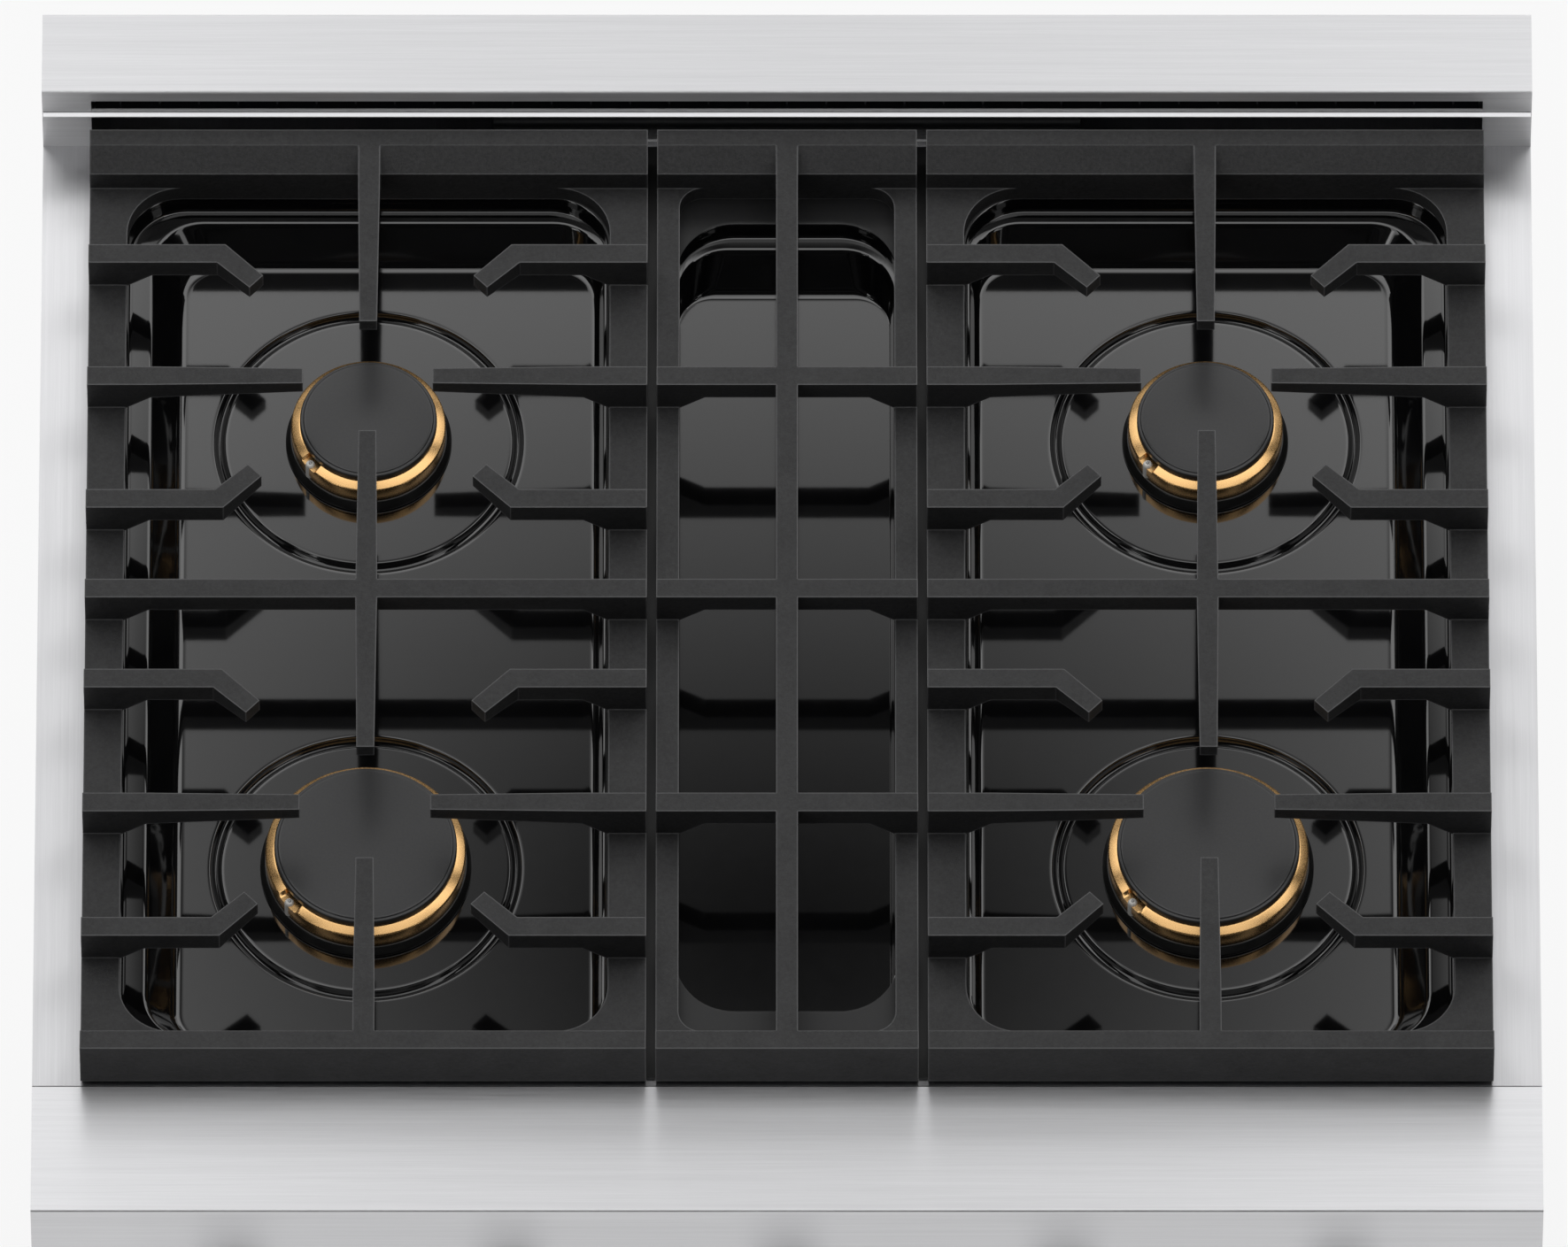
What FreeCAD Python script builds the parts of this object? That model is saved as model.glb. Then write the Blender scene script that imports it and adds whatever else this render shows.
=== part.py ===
import FreeCAD, Part
import math
import os

Vector = FreeCAD.Vector

# A 30-inch freestanding gas range, in millimetres. The floor is Z = 0, the front faces -Y and X is across.
# Depths in this file ("d") are counted backwards from the front edge of the front ledge.
# Levels named "..._level" on the cooktop are counted up from the steel ledges.

# ---------------------------------------------------------------- driving dimensions
body_width = 760.0
body_depth = 687.0
cooktop_height = 914.0
handle_reach = 50.0
leg_height = 100.0

sheet = 1.5
seam = 0.5
seat_gap = 0.3
running_gap = 0.05

# Front ledge and back guard
ledge_depth = 73.7
ledge_face = 35.0
ledge_flange = 15.0
guard_height = 50.0
guard_depth = 48.0
guard_end_zone = 25.0
guard_slot_low = 32.6
guard_slot_high = 41.7
guard_vent_low = 4.0
guard_vent_high = 29.0
louvre_pitch = 20.0
louvre_fin = 1.0
louvre_depth = 11.0

# Grates: gaps to the front ledge, the back guard and the outer edge of the body
grate_top_level = 33.0
grate_ledge_gap = 2.2
grate_guard_gap = 11.6
grate_side_inset = 24.4
grate_inner_x = 71.0
center_grate_x = 66.2
rail_top_level = 12.0
rail_width = 19.3
center_rail_width = 11.5
bar_width = 11.0
bar_tip_width = 9.0
bar_thickness = 12.0
tip_thickness = 8.0
gusset_radius = 27.0
center_gusset_radius = 12.0
finger_clearance = 33.0
bent_finger_offset = 74.0
bent_finger_tip = 57.0
root_brace = 13.0
cross_bar_root = 20.0
cross_bar_start = 3.0
front_rail_flat = 10.6
front_rail_width = 23.2
rear_rail_flat = 9.4
rear_rail_width = 22.0
rear_rail_slope_level = 25.0

# Burners: distance from the centre line, places along the depth, and the two sizes
burner_x = 213.0
front_burner_d = 222.3
rear_burner_guard_gap = 160.8
large_cap_radius = 46.2
small_cap_radius = 34.9
ring_overhang = 4.5
base_flare = 3.0
ring_width = 8.0
cap_thickness = 5.0
ring_height = 11.5
ring_side_height = 8.5
ring_bevel = 4.0
base_height = 6.0
burner_stub_radius = 20.0
burner_stub_length = 30.0
port_width = 1.2
port_height = 3.5
port_depth = 2.2
port_reach = 4.6
igniter_radius = 2.5
igniter_tip_radius = 0.8
igniter_angle = 218.0

# Drip pan: its rim, then how far each well's walls lean in from rim to floor
pan_depth = 30.0
pan_wall = 2.0
pan_side_inset = 29.0
pan_ledge_gap = 4.3
pan_guard_gap = 8.0
pan_lap = 8.0
pan_step_drop = 8.0
pan_step_outer = 12.0
pan_step_inner = 1.0
pan_step_front = 5.0
pan_step_rear = 8.0
center_well_step = 0.6
well_rim_side = 14.0
well_rim_front = 24.0
well_rim_rear = 25.0
well_lean_side = 30.0
well_lean_front = 14.6
well_lean_rear = 23.3
well_inner_x = 91.5
well_lean_inner = 5.5
center_well_x = 56.0
center_well_lean = 2.5
center_well_inset = 16.0
well_rim_corner = 30.0
well_floor_corner = 22.0
groove_radius = 79.0
groove_width = 5.6
groove_depth = 1.0

# Control panel, knobs and valves
panel_setback = 10.0
panel_drop = 144.0
knob_pitch = 140.0
knob_rise = 46.0
knob_radius = 22.0
knob_skirt_radius = 27.0
knob_skirt = 5.0
knob_length = 38.0
knob_stand_off = 4.0
bezel_width = 4.0
bezel_height = 3.0
stem_radius = 4.0
stem_in_knob = 21.0
valve_front_d = 56.0
valve_width = 24.0
valve_depth = 36.0
stem_in_valve = 18.0
push_travel = 3.0
manifold_radius = 8.0
manifold_end = 40.0
tube_radius = 4.0
elbow_wall = 1.0
regulator_length = 50.0
regulator_half_width = 25.0
regulator_rear_gap = 22.0
spark_module_d = 400.0
spark_module_size = (30.0, 90.0, 56.0)

# Oven: the cavity, its front frame, its racks and the flue up to the back guard
oven_half_width = 300.0
oven_floor_z = 257.0
oven_bottom_z = 205.0
oven_top_drop = 65.0
oven_rear_d = 560.0
insulation = 35.0
frame_front_d = 61.0
frame_plate = 2.0
frame_bottom_gap = 66.0
kick_gap = 2.0
base_rim = 30.0
heat_slot_first_d = 130.0
heat_slot_pitch = 60.0
heat_slot_inset = 25.0
bake_tube_radius = 15.0
broil_half_width = 150.0
broil_front_d = 180.0
broil_length = 250.0
broil_height = 18.0
broil_stud = 15.0
rung_count = 5
first_rung_z = 300.0
rung_pitch = 75.0
lower_rack_rung = 1
upper_rack_rung = 3
rung_radius = 3.0
rung_wall_gap = 10.0
rack_wall_gap = 12.0
rack_front_d = 80.0
rack_rear_gap = 20.0
rack_frame_radius = 3.0
rack_cross_radius = 2.5
rack_wire_radius = 2.0
rack_wire_pitch = 32.0
flue_x = 150.0
flue_guard_gap = 6.5
flue_rear_gap = 7.5
flue_neck_x = 60.0
flue_neck_drop = 25.0
flue_neck_height = 40.0
flue_sump = 20.0

# Door
door_front_d = 14.0
door_rear_d = 57.0
door_bottom_gap = 4.0
door_gap = 6.0
door_side_gap = 4.0
door_split_d = 44.0
window_half_width = 225.0
window_bottom = 330.0
window_top = 590.0
window_lap = 20.0
inner_window_inset = 10.0
glass_thickness = 4.0
handle_radius = 14.0
handle_drop = 52.0
handle_half_length = 300.0
handle_post_width = 26.0
handle_post_height = 38.0
hinge_d = 55.0
hinge_rise = 4.0
hinge_pin_radius = 3.0
hinge_arm_inset = 39.0
hinge_arm_thickness = 6.0
hinge_ear_inset = 31.0
hinge_ear_thickness = 4.0

# Legs, inlets and screws
leg_side_inset = 50.0
leg_front_d = 110.0
leg_rear_gap = 57.0
leg_tube_radius = 24.0
foot_radius = 23.0
foot_disc = 6.0
foot_shoulder = 24.0
foot_rod_radius = 8.0
foot_rod_gap = 4.0
inlet_side_inset = 65.0
inlet_hole_radius = 9.35
inlet_hole_depth = 18.0
inlet_collar_radius = 16.0
cord_inlet_radius = 5.0
cord_bushing_radius = 10.0
cord_inlet_side_inset = 80.0
cord_inlet_rise = 100.0
rear_flange = 27.0
rear_screw_inset = 15.0
rear_screw_rows = 4
kick_screw_inset = 37.0
kick_screw_rise = 16.0
cooling_slot_rows = 6
cooling_slot_x = 120.0
cooling_slot_z = 420.0
cooling_slot_pitch = 26.0
cooling_slot_length = 140.0
cooling_slot_height = 6.0
screw_radius = 2.0
screw_head_radius = 4.0
screw_head = 2.0
screw_hole_gap = 0.1

# ---------------------------------------------------------------- places worked out from them
half_width = body_width / 2
bend_radius = sheet - 0.2
front_y = (handle_reach - body_depth) / 2
panel_x = half_width - sheet
inner_x = panel_x - sheet
guard_front_d = body_depth - guard_depth
rear_panel_d = body_depth - 4.0
ledge_bottom_z = cooktop_height - ledge_face
panel_bottom = cooktop_height - panel_drop
knob_height = panel_bottom + knob_rise
oven_top_z = panel_bottom - oven_top_drop
frame_bottom = leg_height + frame_bottom_gap
cavity_front_d = frame_front_d + frame_plate
base_front_d = frame_front_d + 5.0
base_rim_z = leg_height + base_rim
rung_levels = [first_rung_z + rung_pitch * index for index in range(rung_count)]
rung_x = oven_half_width - rung_wall_gap
rack_half_width = oven_half_width - rack_wall_gap
rack_rear_d = oven_rear_d - rack_rear_gap
flue_front_d = guard_front_d + flue_guard_gap
flue_rear_d = body_depth - flue_rear_gap
flue_neck_high = oven_top_z - flue_neck_drop
flue_neck_low = flue_neck_high - flue_neck_height
door_top = panel_bottom - door_gap
door_bottom = frame_bottom + door_bottom_gap
door_half_width = panel_x - door_side_gap + sheet
handle_z = door_top - handle_drop
hinge_z = door_bottom + hinge_rise
hinge_arm_x = inner_x - hinge_arm_inset
hinge_ear_x = inner_x - hinge_ear_inset
grate_front_d = ledge_depth + grate_ledge_gap
grate_rear_d = guard_front_d - grate_guard_gap
grate_outer_x = half_width - grate_side_inset
rear_burner_d = guard_front_d - rear_burner_guard_gap
pan_rim_x = half_width - pan_side_inset
pan_front_d = ledge_depth + pan_ledge_gap
pan_rear_d = guard_front_d - pan_guard_gap
well_outer_x = pan_rim_x - well_rim_side
well_front_d = pan_front_d + well_rim_front
well_rear_d = pan_rear_d - well_rim_rear
pan_floor_level = -pan_depth
ring_bottom_level = pan_floor_level + base_height
ring_top_level = ring_bottom_level + ring_height
valve_rear_d = valve_front_d + valve_depth
manifold_d = valve_rear_d + manifold_radius
burner_stub_bottom_z = cooktop_height + pan_floor_level - burner_stub_length
tube_run_z = burner_stub_bottom_z - 2 * tube_radius
inlet_x = half_width - inlet_side_inset
cord_inlet_x = cord_inlet_side_inset - half_width
cord_inlet_z = leg_height + cord_inlet_rise
regulator_rear_d = body_depth - regulator_rear_gap
regulator_front_d = regulator_rear_d - regulator_length
kick_screw_x = inner_x - kick_screw_inset
kick_screw_z = leg_height + kick_screw_rise
rear_screw_x = inner_x - rear_screw_inset
rear_screw_low = base_rim_z + 30.0
rear_screw_high = ledge_bottom_z - 14.0
leg_x = half_width - leg_side_inset
leg_rear_d = body_depth - leg_rear_gap
leg_places = {
    "front_left": (-leg_x, leg_front_d),
    "front_right": (leg_x, leg_front_d),
    "rear_left": (-leg_x, leg_rear_d),
    "rear_right": (leg_x, leg_rear_d),
}
burners = {
    "left_front": (-burner_x, front_burner_d, large_cap_radius),
    "left_rear": (-burner_x, rear_burner_d, small_cap_radius),
    "right_front": (burner_x, front_burner_d, large_cap_radius),
    "right_rear": (burner_x, rear_burner_d, small_cap_radius),
}
knob_places = {
    "left_front": -2 * knob_pitch,
    "left_rear": -knob_pitch,
    "oven": 0.0,
    "right_rear": knob_pitch,
    "right_front": 2 * knob_pitch,
}


# ---------------------------------------------------------------- small helpers
def level(height):
    return cooktop_height + height


def place(x, d, z):
    return Vector(x, front_y + d, z)


def block(x0, x1, d0, d1, z0, z1):
    return Part.makeBox(x1 - x0, d1 - d0, z1 - z0, place(x0, d0, z0))


def upright(x, d, radius, z0, z1):
    return Part.makeCylinder(radius, z1 - z0, place(x, d, z0), Vector(0, 0, 1))


def rod(start, end, radius):
    return Part.makeCylinder(radius, (end - start).Length, start, end - start)


def ring_solid(x, d, inner, outer, z0, z1):
    return upright(x, d, outer, z0, z1).cut(upright(x, d, inner, z0 - 1, z1 + 1))


def joined(shapes):
    return shapes[0].multiFuse(shapes[1:]).removeSplitter()


def cut_all(shape, tools):
    for tool in tools:
        shape = shape.cut(tool)
    return shape


def mirrored(shape):
    return shape.mirror(Vector(0, 0, 0), Vector(1, 0, 0))


def both_sides(shape):
    return Part.makeCompound([shape, mirrored(shape)])


def turned(profile, x, d):
    """A profile of (radius, z) points turned about a vertical line at x, d."""
    points = [Vector(radius, 0, z) for radius, z in profile]
    face = Part.Face(Part.makePolygon(points + points[:1]))
    solid = face.revolve(Vector(0, 0, 0), Vector(0, 0, 1), 360)
    solid.translate(place(x, d, 0))
    return solid


def side_profile(points, x0, x1):
    """A profile of (d, z) points drawn along X."""
    corners = [place(x0, d, z) for d, z in points]
    return Part.Face(Part.makePolygon(corners + corners[:1])).extrude(Vector(x1 - x0, 0, 0))


def rounded_wire(x0, x1, d0, d1, z, radius):
    flat = block(x0, x1, d0, d1, z, z + 1.0)
    corners = [edge for edge in flat.Edges if abs(edge.tangentAt(edge.FirstParameter).z) > 0.9]
    rounded = flat.makeFillet(radius, corners)
    lowest = min(rounded.Faces, key=lambda face: face.CenterOfMass.z)
    return lowest.OuterWire


def rounded_block(x0, x1, d0, d1, z0, z1, radius):
    return Part.Face(rounded_wire(x0, x1, d0, d1, z0, radius)).extrude(Vector(0, 0, z1 - z0))


def window_frame(outer, inner, d0, d1):
    """A flat frame facing the front: outer and inner are (half width, bottom, top)."""
    plate = block(-outer[0], outer[0], d0, d1, outer[1], outer[2])
    return plate.cut(block(-inner[0], inner[0], d0 - 1, d1 + 1, inner[1], inner[2]))


# ---------------------------------------------------------------- cabinet
def leg_tube(x, d):
    tube = upright(x, d, leg_tube_radius, foot_shoulder + seat_gap, leg_height)
    return tube.cut(upright(x, d, foot_rod_radius + running_gap, 0, leg_height - sheet))


def base_frame():
    outer = block(-inner_x, inner_x, base_front_d, rear_panel_d, leg_height, base_rim_z)
    hollow = block(-inner_x + sheet, inner_x - sheet, base_front_d + sheet, rear_panel_d - sheet,
                   leg_height + sheet, base_rim_z + 1)
    tubes = [leg_tube(x, d) for x, d in leg_places.values()]
    frame = joined([outer.cut(hollow)] + tubes)
    return frame.cut(joined([kick_screw_hole(-1), kick_screw_hole(1)]))


def side_panel():
    plate = block(inner_x, panel_x, frame_front_d, body_depth, leg_height, cooktop_height - sheet)
    flange = block(inner_x - rear_flange, inner_x + sheet / 2, rear_panel_d - sheet, rear_panel_d,
                   base_rim_z, ledge_bottom_z)
    return cut_all(joined([plate, flange]), [screw_hole(x, z) for x, z in rear_screw_places() if x > 0])


def rear_screw_places():
    pitch = (rear_screw_high - rear_screw_low) / (rear_screw_rows - 1)
    return [(side * rear_screw_x, rear_screw_low + pitch * row)
            for side in (-1, 1) for row in range(rear_screw_rows)]


def screw_hole(x, z):
    return rod(place(x, rear_panel_d - 10, z), place(x, body_depth, z), screw_radius + screw_hole_gap)


def rear_panel():
    panel = block(-inner_x, inner_x, rear_panel_d, rear_panel_d + sheet, leg_height, cooktop_height - sheet)
    cuts = [screw_hole(x, z) for x, z in rear_screw_places()]
    cuts.append(rod(place(inlet_x, rear_panel_d - 1, knob_height), place(inlet_x, body_depth, knob_height),
                    inlet_collar_radius + seat_gap))
    cuts.append(rod(place(cord_inlet_x, rear_panel_d - 1, cord_inlet_z),
                    place(cord_inlet_x, body_depth, cord_inlet_z), cord_bushing_radius + screw_hole_gap))
    for row in range(cooling_slot_rows):
        for side in (-1, 1):
            x = side * cooling_slot_x
            z = cooling_slot_z + cooling_slot_pitch * row
            cuts.append(block(x - cooling_slot_length / 2, x + cooling_slot_length / 2, rear_panel_d - 1,
                              rear_panel_d + sheet + 1, z, z + cooling_slot_height))
    return cut_all(panel, cuts)


def fasteners():
    screws = []
    for x, z in rear_screw_places():
        shank = rod(place(x, rear_panel_d - 6, z), place(x, rear_panel_d + sheet, z), screw_radius)
        head = rod(place(x, rear_panel_d + sheet, z), place(x, rear_panel_d + sheet + screw_head, z),
                   screw_head_radius)
        screws.append(joined([shank, head]))
    for side in (-1, 1):
        x = side * kick_screw_x
        shank = rod(place(x, frame_front_d, kick_screw_z), place(x, frame_front_d + 9, kick_screw_z),
                    screw_radius)
        head = rod(place(x, frame_front_d - screw_head, kick_screw_z), place(x, frame_front_d, kick_screw_z),
                   screw_head_radius)
        screws.append(joined([shank, head]))
    return Part.makeCompound(screws)


def kick_screw_hole(side):
    x = side * kick_screw_x
    return rod(place(x, frame_front_d - 1, kick_screw_z), place(x, frame_front_d + 10, kick_screw_z),
               screw_radius + screw_hole_gap)


def kick_panel():
    outer = block(-inner_x, inner_x, frame_front_d, base_front_d, leg_height, frame_bottom - kick_gap)
    hollow = block(-inner_x + sheet, inner_x - sheet, frame_front_d + sheet, base_front_d + 1,
                   leg_height + sheet, frame_bottom - kick_gap - sheet)
    return cut_all(outer.cut(hollow), [kick_screw_hole(-1), kick_screw_hole(1)])


# ---------------------------------------------------------------- cooktop
def front_ledge():
    outer = block(-half_width, half_width, 0, ledge_depth, ledge_bottom_z, cooktop_height)
    hollow = block(-half_width + sheet, half_width - sheet, sheet, ledge_depth - sheet,
                   ledge_bottom_z + sheet, cooktop_height - sheet)
    floor_cut = block(-half_width + sheet, half_width - sheet, panel_setback + 2 * sheet, ledge_depth + 1,
                      ledge_bottom_z - 1, cooktop_height - ledge_flange)
    panel_room = block(inner_x, panel_x, frame_front_d, ledge_depth + 1, ledge_bottom_z - 1,
                       cooktop_height - sheet)
    shell = cut_all(outer, [hollow, floor_cut, panel_room, mirrored(panel_room)])
    top_front = [edge for edge in shell.Edges
                 if edge.Length > body_width - 1
                 and abs(edge.CenterOfMass.z - cooktop_height) < 0.01
                 and abs(edge.CenterOfMass.y - front_y) < 0.01]
    return shell.makeFillet(bend_radius, top_front)


def cooktop_frame():
    front_d = ledge_depth + seam
    plate = block(-half_width, half_width, front_d, body_depth, cooktop_height - sheet, cooktop_height)
    opening = block(-pan_rim_x + pan_lap, pan_rim_x - pan_lap, pan_front_d + pan_lap, pan_rear_d - pan_lap,
                    cooktop_height - 5, cooktop_height + 5)
    flue_hole = block(-flue_x, flue_x, flue_front_d, flue_rear_d, cooktop_height - 5, cooktop_height + 5)
    front_flange = block(-inner_x, inner_x, front_d, front_d + sheet, cooktop_height - ledge_flange,
                         cooktop_height)
    skirt = block(panel_x, half_width, front_d, body_depth, ledge_bottom_z, cooktop_height)
    return joined([plate.cut(opening).cut(flue_hole), front_flange, skirt, mirrored(skirt)])


def grown(rectangle, inset):
    x0, x1, d0, d1 = rectangle
    return x0 - inset, x1 + inset, d0 - inset, d1 + inset


def well(inset, rim, brink, floor):
    """A stepped tub: straight down from the rim to a narrow step, then sloping from its brink to the floor."""
    step_z = level(-pan_step_drop - inset)
    upper = rounded_block(*grown(rim, inset), step_z, level(sheet + 0.01), well_rim_corner)
    top = rounded_wire(*grown(brink, inset), step_z, well_rim_corner)
    bottom = rounded_wire(*grown(floor, inset), level(pan_floor_level - inset), well_floor_corner)
    return joined([upper, Part.makeLoft([bottom, top], True, True)])


def side_well(inset):
    rim = (well_inner_x, well_outer_x, well_front_d, well_rear_d)
    brink = (well_inner_x + pan_step_inner, well_outer_x - pan_step_outer, well_front_d + pan_step_front,
             well_rear_d - pan_step_rear)
    floor = (well_inner_x + well_lean_inner, well_outer_x - well_lean_side, well_front_d + well_lean_front,
             well_rear_d - well_lean_rear)
    return well(inset, rim, brink, floor)


def center_well(inset):
    front_d = well_front_d + center_well_inset
    rear_d = well_rear_d - center_well_inset
    brink_x = center_well_x - center_well_step
    floor_x = center_well_x - center_well_lean
    rim = (-center_well_x, center_well_x, front_d, rear_d)
    brink = (-brink_x, brink_x, front_d + pan_step_front, rear_d - pan_step_front)
    floor = (-floor_x, floor_x, front_d + center_well_inset, rear_d - center_well_inset)
    return well(inset, rim, brink, floor)


def drip_pan():
    rim = block(-pan_rim_x, pan_rim_x, pan_front_d, pan_rear_d, cooktop_height, cooktop_height + sheet)
    hollows = [side_well(0), mirrored(side_well(0)), center_well(0)]
    shells = [side_well(pan_wall), mirrored(side_well(pan_wall)), center_well(pan_wall)]
    below_rim = block(-half_width, half_width, 0, body_depth, 0, cooktop_height + sheet / 2)
    pan = joined([rim] + [shell.common(below_rim) for shell in shells])
    pan = cut_all(pan, hollows)
    cuts = []
    for x, d, cap_radius in burners.values():
        floor_z = level(pan_floor_level)
        cuts.append(ring_solid(x, d, groove_radius - groove_width, groove_radius, floor_z - groove_depth,
                               floor_z + 1))
        cuts.append(upright(x, d, burner_stub_radius + seat_gap, floor_z - 5, floor_z + 5))
        igniter_x, igniter_d = igniter_place(x, d, cap_radius)
        cuts.append(upright(igniter_x, igniter_d, igniter_radius + seat_gap, floor_z - 5, floor_z + 5))
    return cut_all(pan, cuts)


def back_guard():
    outer = block(-half_width, half_width, guard_front_d, body_depth, cooktop_height, level(guard_height))
    hollow = block(-half_width + sheet, half_width - sheet, guard_front_d + sheet, body_depth - sheet,
                   cooktop_height - 1, level(guard_height) - sheet)
    opening_x = half_width - guard_end_zone
    slot = block(-opening_x, opening_x, guard_front_d - 1, guard_front_d + sheet + 1,
                 level(guard_slot_low), level(guard_slot_high))
    vent = block(-opening_x, opening_x, guard_front_d - 1, guard_front_d + sheet + 1,
                 level(guard_vent_low), level(guard_vent_high))
    shell = outer.cut(hollow).cut(slot).cut(vent)
    top_edges = [edge for edge in shell.Edges
                 if edge.Length > body_width - 1
                 and abs(edge.CenterOfMass.z - level(guard_height)) < 0.01]
    return shell.makeFillet(bend_radius, top_edges)


def guard_louvre():
    reach = half_width - guard_end_zone - 2.0
    front_d = guard_front_d + sheet
    rear_d = front_d + louvre_depth
    low = level(guard_vent_high + 1.0)
    high = level(guard_slot_high + 2.0)
    pieces = [
        block(-reach, reach, front_d, rear_d, low, low + louvre_fin),
        block(-reach, reach, rear_d - louvre_fin, rear_d, low, high),
    ]
    count = int(reach // louvre_pitch)
    for index in range(-count, count + 1):
        x = index * louvre_pitch
        pieces.append(block(x - louvre_fin / 2, x + louvre_fin / 2, front_d + 2.0, rear_d, low, high))
    return joined(pieces)


# ---------------------------------------------------------------- grates
def bar_section(center, across, width, thickness):
    """An upright rectangle hanging below the grate's top plane, square to the bar."""
    top = level(grate_top_level)
    side = across * (width / 2)
    corners = [
        Vector(center.x - side.x, center.y - side.y, top),
        Vector(center.x + side.x, center.y + side.y, top),
        Vector(center.x + side.x, center.y + side.y, top - thickness),
        Vector(center.x - side.x, center.y - side.y, top - thickness),
    ]
    return Part.makePolygon(corners + corners[:1])


def bar(x0, d0, x1, d1, width0=bar_width, width1=bar_width, thick0=bar_thickness, thick1=bar_thickness):
    start = place(x0, d0, 0)
    end = place(x1, d1, 0)
    along = (end - start).normalize()
    across = Vector(-along.y, along.x, 0)
    wires = [bar_section(start, across, width0, thick0), bar_section(end, across, width1, thick1)]
    return Part.makeLoft(wires, True, True)


def rooted_bar(x0, d0, x1, d1, root, width1, thick1):
    """A bar with a deep web over its rail, a short sloping brace, then the slim finger."""
    web_thickness = grate_top_level - rail_top_level + 1.0
    length = math.hypot(x1 - x0, d1 - d0)
    step_x = (x1 - x0) / length
    step_d = (d1 - d0) / length
    ax = x0 + step_x * root
    ad = d0 + step_d * root
    bx = ax + step_x * root_brace
    bd = ad + step_d * root_brace
    return [
        bar(x0, d0, ax, ad, thick0=web_thickness, thick1=web_thickness),
        bar(ax, ad, bx, bd, thick0=web_thickness),
        bar(bx, bd, x1, d1, width1=width1, thick1=thick1),
    ]


def cross_rails(x0, x1):
    top = level(grate_top_level)
    band = level(rail_top_level)
    foot = level(sheet + seat_gap)
    front_inner_d = grate_front_d + front_rail_width
    rear_inner_d = grate_rear_d - rear_rail_width
    front = [(grate_front_d, foot), (grate_front_d, top), (grate_front_d + front_rail_flat, top),
             (front_inner_d, band), (front_inner_d, foot)]
    rear = [(grate_rear_d, foot), (grate_rear_d, top), (grate_rear_d - rear_rail_flat, top),
            (rear_inner_d, level(rear_rail_slope_level)), (rear_inner_d, foot)]
    return [side_profile(front, x0, x1), side_profile(rear, x0, x1)]


def side_rail(x0, x1):
    return block(x0, x1, grate_front_d, grate_rear_d, level(sheet + seat_gap), level(rail_top_level))


def gusset(x, d, side, end, radius):
    """A concave corner web between a side rail and a cross rail; side and end point into the corner."""
    x0, x1 = sorted([x, x + side * radius])
    d0, d1 = sorted([d, d + end * radius])
    web = block(x0, x1, d0, d1, level(sheet + seat_gap), level(rail_top_level))
    return web.cut(upright(x + side * radius, d + end * radius, radius, level(0), level(rail_top_level) + 5))


def gussets(x0, x1, radius):
    front_d = grate_front_d + front_rail_width
    rear_d = grate_rear_d - rear_rail_width
    places = [(x0, 1), (x1, -1)]
    return [gusset(x, d, side, end, radius) for x, side in places for d, end in ((front_d, 1), (rear_d, -1))]


def bent_finger(rail_x, inner_side, burner_d, end):
    """A finger that leaves its rail square and turns half right towards the burner."""
    d = burner_d + end * bent_finger_offset
    corner_x = burner_x + inner_side * (bent_finger_offset + 1.0)
    tip_x = burner_x + inner_side * bent_finger_tip
    tip_d = burner_d + end * bent_finger_tip
    miter = bar_width / 2 * math.tan(math.radians(22.5))
    pieces = rooted_bar(rail_x, d, corner_x - inner_side * miter, d, rail_width, bar_width, bar_thickness)
    slant = math.hypot(tip_x - corner_x, tip_d - d)
    step_x = (tip_x - corner_x) / slant
    step_d = (tip_d - d) / slant
    pieces.append(bar(corner_x - step_x * miter, d - step_d * miter, tip_x, tip_d, width1=bar_tip_width + 1,
                      thick1=tip_thickness + 1))
    return pieces


def side_grate():
    """The right-hand grate; the left one is its mirror image."""
    outer = grate_outer_x
    inner = grate_inner_x
    middle_d = (front_burner_d + rear_burner_d) / 2
    pieces = [side_rail(inner, inner + rail_width), side_rail(outer - rail_width, outer)]
    pieces += cross_rails(inner, outer)
    pieces += gussets(inner + rail_width, outer - rail_width, gusset_radius)
    pieces += rooted_bar(outer, middle_d, burner_x, middle_d, rail_width, bar_width, bar_thickness)
    pieces += rooted_bar(inner, middle_d, burner_x, middle_d, rail_width, bar_width, bar_thickness)
    for burner_d in (front_burner_d, rear_burner_d):
        for rail_x, inner_side in ((outer, 1), (inner, -1)):
            pieces += rooted_bar(rail_x, burner_d, burner_x + inner_side * finger_clearance, burner_d,
                                 rail_width, bar_tip_width, tip_thickness)
            for end in (-1, 1):
                pieces += bent_finger(rail_x, inner_side, burner_d, end)
    pieces.append(bar(burner_x, middle_d, burner_x, rear_burner_d - finger_clearance, width1=bar_tip_width,
                      thick1=tip_thickness))
    pieces.append(bar(burner_x, middle_d, burner_x, front_burner_d + finger_clearance, width1=bar_tip_width,
                      thick1=tip_thickness))
    pieces += rooted_bar(burner_x, grate_front_d + cross_bar_start, burner_x, front_burner_d - finger_clearance,
                         cross_bar_root, bar_tip_width, tip_thickness)
    pieces += rooted_bar(burner_x, grate_rear_d - cross_bar_start, burner_x, rear_burner_d + finger_clearance,
                         cross_bar_root, bar_tip_width, tip_thickness)
    return joined(pieces)


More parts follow.
